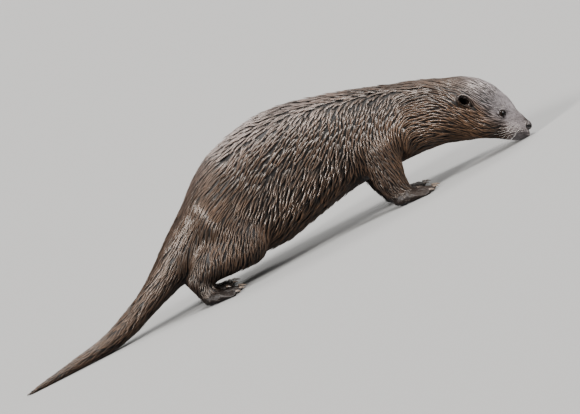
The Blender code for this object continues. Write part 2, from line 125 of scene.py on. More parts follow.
LOCK_ROLL = math.radians(30.0)  # how far its outermost strands lean over to the sides
STRAND_THICKNESS = 0.32     # of its width
STRAND_TAPER = ((0.0, 0.25, 0.5, 0.75), (0.75, 1.0, 0.85, 0.5))     # of its length, of its width
ROOT_DEPTH = 0.5 * MM       # how far a strand starts under the skin
PATCH = 0.003               # the side of a strand's patch in the baking map
MAP_MARGIN = 2 * PATCH
COAT_TRIANGLE_LIMIT = 195000

# How far above the floor each of these is kept.
SKIN_CLEARANCE = 0.4 * MM
STRAND_CLEARANCE = 0.5 * MM
BLADE_CLEARANCE = 0.3 * MM
WHISKER_CLEARANCE = 1.2 * MM

# The coat's pieces, one on each side: their regions, and their shine, which is the roughness of
# the hair and how much clear water lies on it.
COAT_PIECES = {
    "head": ("head", "ear_"),
    "neck": ("neck",),
    "chest": ("chest",),
    "belly": ("belly",),
    "rump": ("rump",),
    "tail": ("tail_base", "tail_middle", "tail_end"),
    "foreleg": ("leg_fore_", "foot_fore_"),
    "hind_leg": ("leg_hind_", "foot_hind_"),
}
SHINE = {
    "head": (0.34, 0.31),
    "neck": (0.34, 0.31),
    "chest": (0.33, 0.34),
    "belly": (0.35, 0.27),
    "rump": (0.38, 0.19),
    "tail": (0.41, 0.10),
    "foreleg": (0.40, 0.12),
    "hind_leg": (0.42, 0.07),
}

# The coat's colours, and the tint of its shine.
BROWN = (0.029, 0.0165, 0.0105)
WARM_BROWN = (0.085, 0.046, 0.025)
# Partly the face's own paler grey, partly painted sheen on the forehead, muzzle and back, and a
# painted highlight on the ears' rims.
PALE_AND_SHEEN_GREY = (0.235, 0.212, 0.216)
# Mostly the coat's own dark parts, and also a painted shadow behind each ear.
DARK_BROWN_AND_SHADOW = (0.009, 0.006, 0.005)
# Painted shade: near black in the ears' openings.
HOLLOW_SHADE_BLACK = (0.001, 0.001, 0.001)
HAIR_GLINT = (1.0, 0.84, 0.72)

# Eyes, nose and whiskers.
EYE_GAP = 0.25 * MM         # between the eyeball and its node's surface
CORNEA = 0.7 * MM           # how far it stands over the ball
NOSE_VOXEL = 0.5 * MM
NOSE_SMOOTHING = 12
WHISKER_SIDES = 5
WHISKER_STEPS = 9
WHISKER_RADIUS = 0.20 * MM
WHISKER_TIP = 0.03 * MM

# The camera, at the photograph's angle: the body's slope is in the roll.
CAMERA_AIM = Vector((0.053, 0.0, 0.0714))
CAMERA_DISTANCE = 5.6
CAMERA_ELEVATION = math.radians(6.0)
CAMERA_ROLL = math.radians(27.5)
VIEW_WIDTH = 0.87           # what the picture spans at the animal
SENSOR = 36.0

# The lamps: where each shines from, its strength, its width in degrees and its colour.
LAMPS = {
    "dome": ((1.1, -0.3, 2.1), 2.8, 110.0, (1.0, 0.98, 0.96)),
    "key": ((-1.2, -1.25, 0.9), 5.4, 13.0, (1.0, 0.97, 0.94)),
    "top": ((0.1, -0.9, 2.3), 3.0, 16.0, (1.0, 0.98, 0.96)),
    "front": ((1.5, -1.0, 1.2), 4.0, 18.0, (1.0, 0.98, 0.97)),
    "rim": ((-0.2, 1.2, 1.9), 1.4, 28.0, (1.0, 0.98, 0.96)),
    "floor_bounce": ((1.0, -0.5, -0.6), 0.45, 80.0, (1.0, 0.98, 0.96)),
}
SKY_COLOUR = (0.95, 0.97, 1.0, 1.0)
SKY_STRENGTH = 0.22
FLOOR_RADIUS = 90.0
FLOOR_GREY = (0.24, 0.24, 0.236)


# ---------------------------------------------------------------- places from the frame


def centre_of(node):
    low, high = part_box(node)
    return (low + high) / 2


def in_box(node, across):
    """A place inside a node's box, from shares of its sides."""
    low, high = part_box(node)
    return Vector(low[i] + (high[i] - low[i]) * across[i] for i in range(3))


def region_of(node):
    """The COAT row of a node: a limb's name without its side, or the node's own name."""
    for side, _ in SIDES:
        if node.endswith("_" + side):
            return node[: -len(side)]
    return node


def part_of(owners, *starts):
    """1 for each vertex whose node's name starts with one of these words, 0 for the others."""
    return np.array([float(node.startswith(starts)) for node in FLESH])[owners]


def spine_line():
    """Points along the body's axis from the nose to the tail's tip, and the distance along it."""
    stops = [centre_of("nose")] + [centre_of(node) for node in TRUNK]
    tail_low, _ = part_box("tail_end")
    stops.append(Vector((tail_low.x, 0.0, tail_low.z + 2 * MM)))
    stops = np.array(stops)
    stops[:, 1] = 0.0
    padded = np.vstack((2 * stops[0] - stops[1], stops, 2 * stops[-1] - stops[-2]))
    line = []
    for i in range(1, len(padded) - 2):
        before, here, after, beyond = padded[i - 1 : i + 3]
        for step in range(SPINE_STEPS):
            t = step / SPINE_STEPS
            line.append(0.5 * (2 * here + (after - before) * t
                               + (2 * before - 5 * here + 4 * after - beyond) * t ** 2
                               + (3 * here - before - 3 * after + beyond) * t ** 3))
    line.append(padded[-2])
    line = np.array(line)
    along = np.concatenate(([0.0], np.cumsum(np.linalg.norm(np.diff(line, axis=0), axis=1))))
    return line, along


class Face:
    """The head's own axes: forward along the muzzle, sideways, and up, from between the eyes."""

    NOSE_DROP = math.radians(3.0)   # the nose's middle lies this far under the forward line

    def __init__(self):
        self.eyes = {side: centre_of("eye_" + side) for side, _ in SIDES}
        self.middle = (self.eyes["left"] + self.eyes["right"]) / 2
        self.middle.y = 0.0
        to_nose = centre_of("nose") - self.middle
        pitch = math.atan2(-to_nose.z, to_nose.x) - self.NOSE_DROP
        self.forward = np.array((math.cos(pitch), 0.0, -math.sin(pitch)))
        self.up = np.array((math.sin(pitch), 0.0, math.cos(pitch)))
        low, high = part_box("eye_left")
        self.eye_radius = (high.z - low.z) / 2

    def eye_axis(self, sign):
        """Where an eye looks: outward, and a little forward and up."""
        return unit(self.forward * 0.36 + self.up * 0.30 + np.array((0.0, sign * 0.88, 0.0)))

    def place(self, forward, side, up):
        """A point from face measures in millimetres."""
        return (np.array(self.middle) + self.forward * forward * MM + self.up * up * MM
                + np.array((0.0, side * MM, 0.0)))

    def measures(self, points):
        """Forward, side and up of points, in millimetres."""
        away = (points - np.array(self.middle)) / MM
        return away @ self.forward, away[:, 1], away @ self.up

    def from_nose(self, points):
        """The same from the nose's middle."""
        forward, side, up = self.measures(points)
        nose_forward, _, nose_up = self.measures(np.array([centre_of("nose")]))
        return forward - nose_forward, side, up - nose_up


class Ear:
    """One ear's own axes, from the head's surface under it: forward, up and outward."""

    HALF_WIDTH = 5.8                # millimetres, as the next two
    HALF_HEIGHT = 9.6
    HALF_DEPTH = 22.0               # keeps points far off the head's side out of the oval
    LEAN = math.radians(38.0)       # its foot stands this far forward of its top

    def __init__(self, side, places, normals):
        self.centre = np.array(centre_of("ear_" + side))
        away = away_from(self.centre, places)
        self.outward = unit(normals[away < 14 * MM].mean(axis=0))
        surface = places[away.argmin()]
        self.centre = self.centre + self.outward * ((surface - self.centre) @ self.outward)
        up = np.array((-math.sin(self.LEAN), 0.0, math.cos(self.LEAN)))
        self.up = unit(up - self.outward * (up @ self.outward))
        forward = np.cross(self.up, self.outward)
        self.forward = forward if forward[0] > 0 else -forward

    def measures(self, points):
        """How far out each point is in the ear's oval, 1 on its edge, and its turn round it, 0
        at the front and a quarter turn at the top."""
        away = (points - self.centre) / MM
        ahead = (away @ self.forward) / self.HALF_WIDTH
        high = (away @ self.up) / self.HALF_HEIGHT
        far = np.sqrt(ahead ** 2 + high ** 2 + (away @ self.outward / self.HALF_DEPTH) ** 4)
        return far, np.arctan2(high, ahead)


def pad_share(face, points):
    """How far each point belongs to the nose's bare pad: 1 on it, 0 off it. The pad's edges are
    in millimetres from the nose's middle."""
    ahead, side, high = face.from_nose(points)
    back_edge = -3.6 + 0.42 * np.clip(high, 0.0, None) + 0.02 * side ** 2
    low_edge = -6.3 + 0.02 * side ** 2
    return smoothstep(-0.9, 0.9, ahead - back_edge) * smoothstep(-0.9, 0.9, high - low_edge)


# ---------------------------------------------------------------- mesh arrays


def read(items, name, width=1, kind=np.int32):
    """One property of all the items, in rows of this width."""
    values = np.empty(len(items) * width, kind)
    items.foreach_get(name, values)
    return values.reshape(-1, width)


def vertex_places(mesh):
    return read(mesh.vertices, "co", 3, np.float32).astype(np.float64)


def vertex_normals(mesh):
    return read(mesh.vertex_normals, "vector", 3, np.float32).astype(np.float64)


def set_places(mesh, places):
    mesh.vertices.foreach_set("co", places.astype(np.float32).ravel())
    mesh.update()


def unit(vectors):
    length = np.linalg.norm(vectors, axis=-1, keepdims=True)
    return vectors / np.maximum(length, 1e-12)


def flatten(vectors, normals):
    """Vectors laid into the planes of the normals, at unit length."""
    return unit(vectors - normals * np.sum(vectors * normals, axis=-1, keepdims=True))


def laid(direction, normals):
    """One direction laid into the plane of each normal."""
    return flatten(np.tile(direction, (len(normals), 1)), normals)


def turned_to(flow, other, share):
    """Directions turned to others, each by its own share."""
    share = share[:, None]
    return unit(flow * (1 - share) + other * share)


def smoothstep(low, high, value):
    t = np.clip((value - low) / (high - low), 0.0, 1.0)
    return t * t * (3 - 2 * t)


def band(value, start, full, fading, end):
    """1 from full to fading, falling smoothly to 0 at the start and the end."""
    return smoothstep(start, full, value) * smoothstep(end, fading, value)


def hump(value, middle, width):
    """1 where the value is at the middle, falling away smoothly over this width to both sides."""
    return np.exp(-((value - middle) / width) ** 2)


def away_from(point, places):
    """How far each place is from the point."""
    return np.linalg.norm(places - np.array(point), axis=1)


def mesh_links(mesh):
    """For every vertex its neighbours, in the form that neighbour_mean reads."""
    edges = read(mesh.edges, "vertices", 2)
    ends = np.concatenate((edges, edges[:, ::-1]))
    ends = ends[np.argsort(ends[:, 0], kind="stable")]
    starts = np.searchsorted(ends[:, 0], np.arange(len(mesh.vertices)))
    counts = np.bincount(ends[:, 0], minlength=len(mesh.vertices))
    return ends[:, 1], starts, counts[:, None]


def neighbour_mean(values, links):
    others, starts, counts = links
    return np.add.reduceat(values[others], starts, axis=0) / counts


def blend_field(values, links, rounds):
    for _ in range(rounds):
        values = 0.5 * values + 0.5 * neighbour_mean(values, links)
    return values


def smooth_places(places, links, rounds, share):
    """Evens out facets without shrinking the form; share is each vertex's part in it."""
    for _ in range(rounds):
        for step in (0.5, -0.52):
            places = places + step * share * (neighbour_mean(places, links) - places)
    return places


def value_noise(points, size, seed):
    """Smooth noise from 0 to 1 in cells of this size, from a hash at each cell's corners."""
    cells = points / size
    base = np.floor(cells).astype(np.int64)
    part = cells - base
    part = part * part * (3 - 2 * part)
    total = np.zeros(len(points))
    for corner in range(8):
        offset = np.array((corner & 1, corner >> 1 & 1, corner >> 2 & 1))
        key = base + offset
        mixed = key[:, 0] * 73856093 ^ key[:, 1] * 19349663
        mixed = mixed ^ key[:, 2] * 83492791 ^ seed * 2654435761
        mixed = (mixed ^ (mixed >> 13)) * 1274126177
        chance = ((mixed ^ (mixed >> 16)) & 0xFFFF) / 0xFFFF
        total += chance * np.prod(np.where(offset == 1, part, 1 - part), axis=1)
    return total


def mesh_from(bm, name):
    mesh = bpy.data.meshes.new(name)
    bm.to_mesh(mesh)
    bm.free()
    return mesh


def new_object(name, mesh):
    made = bpy.data.objects.new(name, mesh)
    bpy.context.scene.collection.objects.link(made)
    return made


def aim(thing, direction):
    """Turns a thing's own Z axis to this direction."""
    thing.rotation_mode = "QUATERNION"
    thing.rotation_quaternion = Vector(direction).to_track_quat("Z", "Y")


def applied(thing):
    """The thing's mesh with its modifiers applied, as its own data."""
    depsgraph = bpy.context.evaluated_depsgraph_get()
    mesh = bpy.data.meshes.new_from_object(thing.evaluated_get(depsgraph))
    thing.modifiers.clear()
    thing.data = mesh
    return mesh


def voxel_remesh(thing, size):
    remesh = thing.modifiers.new("Remesh", "REMESH")
    remesh.mode = "VOXEL"
    remesh.voxel_size = size
    return applied(thing)


# ---------------------------------------------------------------- skin


def joined_nodes(frame, nodes):
    """Copies of the nodes in one mesh, each grown a little so that they meet."""
    whole = bmesh.new()
    for node in nodes:
        part = bmesh.new()
        part.from_mesh(frame["nodes"][node].data)
        bmesh.ops.remove_doubles(part, verts=part.verts, dist=0.001 * MM)
        part.normal_update()
        grown = [vertex.co + vertex.normal * CUT_CLOSING for vertex in part.verts]
        for vertex, place in zip(part.verts, grown):
            vertex.co = place
        copy = mesh_from(part, "copy")
        whole.from_mesh(copy)
        bpy.data.meshes.remove(copy)
    return mesh_from(whole, "skin")


def refine(mesh, chosen):
    """Divides the chosen faces once more; chosen gets their middles."""
    bm = bmesh.new()
    bm.from_mesh(mesh)
    middles = np.array([face.calc_center_median() for face in bm.faces])
    bm.faces.ensure_lookup_table()
    edges = {edge for index in np.flatnonzero(chosen(middles)) for edge in bm.faces[index].edges}
    bmesh.ops.subdivide_edges(bm, edges=list(edges), cuts=1, use_grid_fill=True)
    bm.to_mesh(mesh)
    bm.free()


def node_of_each(frame, nodes, points):
    """The nearest of these nodes to each point, as its index."""
    corners = []
    triangles = []
    owners = []
    for index, node in enumerate(nodes):
        mesh = frame["nodes"][node].data
        first = len(corners)
        corners.extend(vertex.co for vertex in mesh.vertices)
        for face in mesh.polygons:
            triangles.append([first + corner for corner in face.vertices])
            owners.append(index)
    tree = BVHTree.FromPolygons(corners, triangles)
    return np.array([owners[tree.find_nearest(point)[2]] for point in points])


def near_any(points, centres, reach):
    """Whether each point is nearer than the reach to any of the centres."""
    return np.minimum.reduce([away_from(centre, points) for centre in centres]) < reach


class Skin:
    """The skin's mesh with the coat's fields on each of its vertices."""

    def __init__(self, frame, face):
        self.face = face
        joined = [node for node in FLESH if not node.startswith("ear")]
        joined += ["eye_" + side for side, _ in SIDES] + ["nose"]
        self.thing = new_object("skin", joined_nodes(frame, joined))
        voxel_remesh(self.thing, SKIN_VOXEL)
        self.refine_face()
        self.links = mesh_links(self.thing.data)
        outer = vertex_places(self.thing.data)
        owners = node_of_each(frame, FLESH, outer)
        share = np.where(part_of(owners, "foot"), FOOT_SMOOTHING, 1.0)[:, None]
        share = blend_field(share, self.links, 6)
        outer = smooth_places(outer, self.links, SKIN_SMOOTHING, share)
        set_places(self.thing.data, outer)
        normals = vertex_normals(self.thing.data)
        self.measure_spine(outer)
        self.owners = owners
        self.ears = [Ear(side, outer, normals) for side, _ in SIDES]
        self.rim = np.zeros(len(outer))
        self.set_fields(outer)
        self.places = outer - normals * self.fur["depth"][:, None]
        self.places = smooth_places(self.places, self.links, 6, share)
        sculpt_face(self)
        sculpt_feet(self, frame)
        fill_haunch(self)
        self.places[:, 2] = np.maximum(self.places[:, 2], SKIN_CLEARANCE)
        set_places(self.thing.data, self.places)
        self.normals = vertex_normals(self.thing.data)
        self.set_flow()

    def refine_face(self):
        """Finer faces on the head's front, and finer again round the eyes, ears and nose."""
        mesh = self.thing.data
        refine(mesh, lambda middles: self.face.measures(middles)[0] > -22.0)
        ears = [centre_of("ear_" + side) for side, _ in SIDES]
        refine(mesh, lambda middles: near_any(middles, ears, 17 * MM))
        refine(mesh, lambda middles: near_any(middles, ears, 14 * MM)
               | near_any(middles, self.face.eyes.values(), 1.9 * self.face.eye_radius)
               | near_any(middles, [centre_of("nose")], 17 * MM))

    def measure_spine(self, places):
        """Each vertex's distance along the body and its turn round it, 0 at the back's ridge."""
        line, along = spine_line()
        tangent = unit(np.gradient(line, axis=0))
        nearest = np.empty(len(places), np.int64)
        flat = places[:, ::2]
        for start in range(0, len(places), ROWS_AT_ONCE):
            rows = slice(start, start + ROWS_AT_ONCE)
            gaps = ((flat[rows, None, :] - line[None, :, ::2]) ** 2).sum(axis=2)
            nearest[rows] = gaps.argmin(axis=1)
        offset = places - line[nearest]
        self.along = along[nearest] + np.sum(offset * tangent[nearest], axis=1)
        self.back = tangent[nearest]
        above = np.stack((self.back[:, 2], np.zeros(len(places)), -self.back[:, 0]), axis=1)
        self.round = np.arctan2(places[:, 1], np.sum(offset * above, axis=1))
        self.reach = along[-1]

    def set_fields(self, outer):
        """Each region's coat, spread smoothly into its neighbours."""
        blended = Fur._fields[:-1]      # all but the number of lengths, which each piece keeps
        rows = np.array([COAT[region_of(node)][:-1] for node in FLESH])
        values = blend_field(rows[self.owners], self.links, FIELD_SPREAD)
        self.fur = dict(zip(blended, values.T))
        for name in SIZES:
            self.fur[name] = self.fur[name] * MM
        forward, _, up = self.face.measures(outer)
        on_head = smoothstep(0.13, 0.11, self.along)
        muzzle = smoothstep(0.0, 30.0, forward) * on_head
        brow = smoothstep(-44.0, -4.0, forward) * on_head
        brow *= smoothstep(-4.0, 12.0, up + 10.0 * smoothstep(-16.0, -6.0, forward))
        sleek = np.maximum(muzzle, brow)
        for name, least in zip(SIZES, (0.22, 0.34, 0.66, 0.62)):
            self.fur[name] = self.fur[name] * (1 - sleek * (1 - least))
        ear_row = COAT["ear_"]._asdict()
        for ear in self.ears:
            on_ear = smoothstep(1.75, 1.3, ear.measures(outer)[0])
            for name in SIZES:
                self.fur[name] = self.fur[name] * (1 - on_ear) + ear_row[name] * MM * on_ear
            self.fur["strands"] = self.fur["strands"] * (1 - on_ear) + ear_row["strands"] * on_ear
        self.fur["stray"] = self.stray_hair(outer)
        flank = smoothstep(0.35, 1.1, np.abs(self.round))
        self.fur["gather"] = self.fur["gather"] * (0.55 + 0.45 * flank)

    def stray_hair(self, outer):
        """How far tips stand off more than the coat's depth: at the elbows and along the belly."""
        stray = 1.6 * MM * smoothstep(1.9, 2.5, np.abs(self.round))
        stray *= band(self.along, 0.16, 0.24, 0.52, 0.62)
        for side, _ in SIDES:
            elbow = in_box("leg_fore_" + side, (0.06, 0.5, 0.80))
            near = smoothstep(42 * MM, 12 * MM, away_from(elbow, outer))
            stray = np.maximum(stray, 8.0 * MM * near)
        return stray

    def push(self, normals, height):
        """Moves the skin out along the normals by this many millimetres."""
        self.places = self.places + normals * (height * MM)[:, None]

    def set_flow(self):
        """The lie of the coat: away from the nose, back along the body, down the limbs."""
        places, normals = self.places, self.normals
        nose = np.array(centre_of("nose"))
        swept_up = 0.30 * smoothstep(0.03, 0.09, self.along)[:, None] * np.array(self.face.up)
        from_nose = unit(unit(places - nose) + swept_up)
        on_head = smoothstep(0.20, 0.10, self.along)
        flow = flatten(turned_to(self.back, from_nose, on_head), normals)
        steep = np.abs(normals[:, 2])
        turn = np.radians(self.fur["turn"]) * smoothstep(0.97, 0.55, steep) * (1 - on_head)
        turn = turn[:, None]
        down = laid((0.0, 0.0, -1.0), normals)
        flow = flatten(flow * np.cos(turn) + down * np.sin(turn), normals)
        for side, sign in SIDES:
            for leg, top_share, lean in (("leg_fore_", 0.78, 0.12), ("leg_hind_", 0.55, -0.55)):
                near = self.leg_share(leg + side, top_share, sign)
                flow = turned_to(flow, laid((lean, 0.0, -1.0), normals), near)
        feet = smoothstep(24 * MM, 14 * MM, places[:, 2]) * part_of(self.owners, "foot")
        flow = turned_to(flow, laid((1.0, 0.0, -0.25), normals), feet)
        for _ in range(FLOW_SPREAD):
            flow = flatten(0.4 * flow + 0.6 * neighbour_mean(flow, self.links), normals)
        self.flow = flow

    def leg_share(self, leg, top_share, sign):
        """How far each vertex's hair lies down this leg, whose top is a share of its height."""
        low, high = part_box(leg)
        middle = centre_of(leg)
        reach = (high.x - low.x) / 2
        top = low.z + (high.z - low.z) * top_share
        near = smoothstep(top + 34 * MM, top - 24 * MM, self.places[:, 2])
        near *= smoothstep(reach + 14 * MM, reach - 34 * MM, np.abs(self.places[:, 0] - middle.x))
        return near * smoothstep(0.0, 30 * MM, sign * self.places[:, 1])


# ---------------------------------------------------------------- face


def fill_skull(skin):
    """The skull's top line and the lip's front stand fuller than the smoothed frame."""
    face = skin.face
    forward, side, up = face.measures(skin.places)
    top = np.interp(forward, (-95.0, -60.0, -40.0, -7.0, 6.0, 16.0, 26.0, 36.0, 44.0),
                    (0.0, 2.0, 3.2, 2.6, 2.8, 3.4, 2.2, 0.9, 0.0))
    top *= smoothstep(-6.0, 12.0, up) * hump(side, 0.0, 24.0)
    lip = hump(forward, 44.0, 9.0) * hump(up, -14.5, 7.5) * hump(side, 0.0, 16.0)
    skin.places = skin.places + (np.outer(top, face.up) + np.outer(9.0 * lip, face.forward)) * MM


def toe_share(plan, start, claws):
    """How far each place, seen from above, is on a toe: a line from the start to a claw."""
    toe = np.zeros(len(plan))
    for claw in claws:
        low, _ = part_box(claw)
        line = np.array((low.x + 3 * MM, centre_of(claw).y)) - start
        share = np.clip((plan - start) @ line / (line @ line), 0.0, 1.0)
        gap = np.linalg.norm(plan - start - share[:, None] * line, axis=1)
        toe = np.maximum(toe, hump(gap, 0.0, TOE_WIDTH))
    return toe


def sculpt_feet(skin, frame):
    """Toes run from the middle of each foot to its claws, with webs between them."""
    for index, node in enumerate(FLESH):
        if not node.startswith("foot"):
            continue
        on_foot = np.flatnonzero(skin.owners == index)
        low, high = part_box(node)
        length = high.x - low.x
        start = np.array((low.x + 0.32 * length, centre_of(node).y))
        claws = [name for name in frame["nodes"] if name.startswith("claw" + node[4:])]
        plan = skin.places[on_foot][:, :2]
        toe = toe_share(plan, start, claws)
        front = smoothstep(low.x + 0.40 * length, low.x + 0.72 * length, plan[:, 0])
        tip = smoothstep(low.x + 0.70 * length, low.x + 1.02 * length, plan[:, 0])
        skin.places[on_foot, 2] *= 1 - front * (0.62 - 0.58 * toe) - 0.30 * tip * toe


def sculpt_face(skin):
    fill_skull(skin)
    for side, sign in SIDES:
        sculpt_lids(skin, side, sign)
    for ear in skin.ears:
        sculpt_ear(skin, ear)
    sculpt_mouth(skin)
    sink_under_pad(skin)


def fill_haunch(skin):
    """The fold between each thigh and the rump is shallow and rounded under the coat."""
    normals = vertex_normals(skin.thing.data)
    fold = in_box("leg_hind_left", (0.53, 0.5, 0.80))
    away = np.hypot(skin.places[:, 0] - fold.x, skin.places[:, 2] - fold.z)
    outer = smoothstep(16 * MM, 36 * MM, np.abs(skin.places[:, 1]))
    rounded = (0.95 * hump(away, 0.0, 38 * MM) * outer)[:, None]
    for _ in range(FOLD_SMOOTHING):
        evened = neighbour_mean(skin.places, skin.links)
        skin.places = skin.places + rounded * (evened - skin.places)
    skin.push(normals, 4.5 * hump(away, 0.0, 24 * MM) * outer)


def sculpt_ear(skin, ear):
    """A ridge round a deep hollow, highest at the crest and low opposite it."""
    far, turn = ear.measures(skin.places)
    near = far < 2.2
    far, turn = far[near], turn[near]
    crest = np.cos(turn - EAR_CREST)
    ridge = hump(far, 1.0, 0.24) * np.clip(0.48 + 0.50 * crest, 0.05, 1.0)
    hollow = smoothstep(1.0, 0.1, far)
    behind = hump(far, 1.45, 0.22) * np.clip(-crest, 0.0, 1.0)
    away = skin.places[near] - ear.centre
    radial = unit(away - np.outer(away @ ear.outward, ear.outward))
    height = 8.0 * ridge - 8.0 * hollow - 2.2 * behind
    skin.places[near] += (np.outer(height, ear.outward) + radial * (1.8 * ridge)[:, None]) * MM


def sink_under_pad(skin):
    """The skin lies under the nose's pad and stands a little over it at its edge."""
    pad = pad_share(skin.face, skin.places)
    near = smoothstep(22 * MM, 14 * MM, away_from(centre_of("nose"), skin.places))
    normals = vertex_normals(skin.thing.data)
    skin.push(normals, 0.55 * (1 - pad) * near - 4.2 * pad)
    skin.pad = pad


def sculpt_lids(skin, side, sign):
    """Lids close over the eyeball from all round and leave an almond opening."""
    face = skin.face
    eye = np.array(face.eyes[side])
    radius = face.eye_radius
    half_length, half_above, half_below = 5.7 * MM, 4.9 * MM, 4.3 * MM
    outward = face.eye_axis(sign)
    long_axis = unit(face.forward - outward * (face.forward @ outward) - 0.10 * face.up)
    long_axis = unit(long_axis - outward * (long_axis @ outward))
    short_axis = np.cross(outward, long_axis) * sign
    away = skin.places - eye
    distance = np.linalg.norm(away, axis=1)
    near = (distance < 2.6 * radius) & (away @ outward > -0.2 * radius)
    away, distance = away[near], distance[near]
    across = (away @ long_axis) / half_length
    height = away @ short_axis
    tall = np.where(height > 0, half_above, half_below)
    opening = np.sqrt(np.abs(across) ** 1.7 + (height / tall) ** 2)
    lid = radius + MM * np.interp(opening, (0.0, 0.9, 1.02, 1.2, 1.6, 2.1),
                                  (-1.3, -1.3, 0.15, 0.8, 1.0, 0.8))
    keep = smoothstep(1.45, 2.7, opening)
    target = lid * (1 - keep) + distance * keep
    skin.places[near] = eye + away / distance[:, None] * target[:, None]
    skin.rim[near] = np.maximum(skin.rim[near], smoothstep(1.46, 1.16, opening))


def sculpt_mouth(skin):
    """The closed mouth's line, from under the nose back to below the eye, and the upper lip's
    split under the nose."""
    forward, side, up = skin.face.measures(skin.places)
    line_forward = (11.0, 18.0, 26.0, 33.0, 40.0, 46.0)
    line_up = (-28.5, -25.5, -22.5, -20.5, -17.5, -13.0)
    level = np.interp(forward, line_forward, line_up)
    groove = hump(up, level, 0.9) * smoothstep(10.0, 14.0, forward)
    split = hump(side, 0.0, 0.7) * band(up, -16.0, -13.0, -8.0, -4.0)
    split *= smoothstep(30.0, 38.0, forward)
    normals = vertex_normals(skin.thing.data)
    skin.push(normals, -1.1 * groove)
    skin.push(normals, -0.9 * split)


# ---------------------------------------------------------------- coat


def face_tables(skin):
    """Corner indices and areas of the skin's triangles."""
    mesh = skin.thing.data
    mesh.calc_loop_triangles()
    corners = read(mesh.loop_triangles, "vertices", 3)
    points = skin.places[corners]
    areas = 0.5 * np.linalg.norm(
        np.cross(points[:, 1] - points[:, 0], points[:, 2] - points[:, 0]), axis=1)
    return corners, areas


def lock_roots(skin, chance):
    """Places for the locks, none too near another along or across the hair: the three corners of
    the skin's triangle under each, and their weights."""
    corners, areas = face_tables(skin)
    across = skin.fur["spacing"][corners].mean(axis=1)
    stretch = skin.fur["stretch"][corners].mean(axis=1)
    bare = skin.bare[corners].mean(axis=1)
    wanted = LOCK_TRIES * areas / (across ** 2 * stretch) * (bare < 0.5)
    total = np.cumsum(wanted)
    marks = chance.uniform(0, total[-1], int(total[-1]))
    picked = corners[np.searchsorted(total, marks).clip(0, len(corners) - 1)]
    weights = chance.dirichlet((1.0, 1.0, 1.0), len(picked))
    places = mix(skin.places, picked, weights).tolist()
    flows = unit(mix(skin.flow, picked, weights)).tolist()
    gaps = mix(skin.fur["spacing"], picked, weights).tolist()
    squash = (1 - 1 / mix(skin.fur["stretch"], picked, weights) ** 2).tolist()
    cell = (skin.fur["spacing"] * skin.fur["stretch"]).max()
    taken = {}
    kept = []
    for index, (place, flow, gap, flat) in enumerate(zip(places, flows, gaps, squash)):
        home = tuple(int(part // cell) for part in place)
        if has_room(taken, home, place, flow, gap * gap, flat):
            taken.setdefault(home, []).append(place)
            kept.append(index)
    return picked[kept], weights[kept]


def has_room(taken, home, place, flow, nearest, squash):
    """Whether no kept place is inside the long oval round this one, in its cell or the next."""
    x, y, z = place
    u, v, w = flow
    for i, j, k in NEAR_CELLS:
        for a, b, c in taken.get((home[0] + i, home[1] + j, home[2] + k), ()):
            p, q, r = a - x, b - y, c - z
            along = p * u + q * v + r * w
            if p * p + q * q + r * r - along * along * squash < nearest:
                return False
    return True


def mix(field, corners, weights):
    """A field's value at places inside triangles."""
    values = field[corners]
    if values.ndim == 3:
        return (values * weights[..., None]).sum(axis=1)
    return (values * weights).sum(axis=1)


def skin_faces(skin):
    """The skin's faces as corner lists, and the tree that finds the nearest of them."""
    faces = [face.vertices[:] for face in skin.thing.data.polygons]
    return faces, BVHTree.FromPolygons(skin.places.tolist(), faces)


def follow_skin(skin, start, length, turn):
    """Each lock's path along the skin: places, normals and directions at every step."""
    faces, tree = skin_faces(skin)
    face_normals, face_flows = (
        unit(np.array([field[list(face)].mean(axis=0) for face in faces]))
        for field in (skin.normals, skin.flow))
    places = []
    normals = []
    flows = []
    here = start
    for step in range(PATH_STEPS + 1):
        found = [tree.find_nearest(point) for point in here]
        index = np.array([hit[2] for hit in found])
        on_skin = np.array([hit[0] for hit in found])
        normal = face_normals[index]
        if step < PATH_STEPS:
            local = face_flows[index]
            sideways = np.cross(normal, local)
            direction = flatten(
                local * np.cos(turn)[:, None] + sideways * np.sin(turn)[:, None], normal)
        places.append(on_skin)
        normals.append(normal)
        flows.append(direction)
        here = on_skin + direction * (length / PATH_STEPS)[:, None]
    return np.stack(places, axis=1), np.stack(normals, axis=1), np.stack(flows, axis=1)


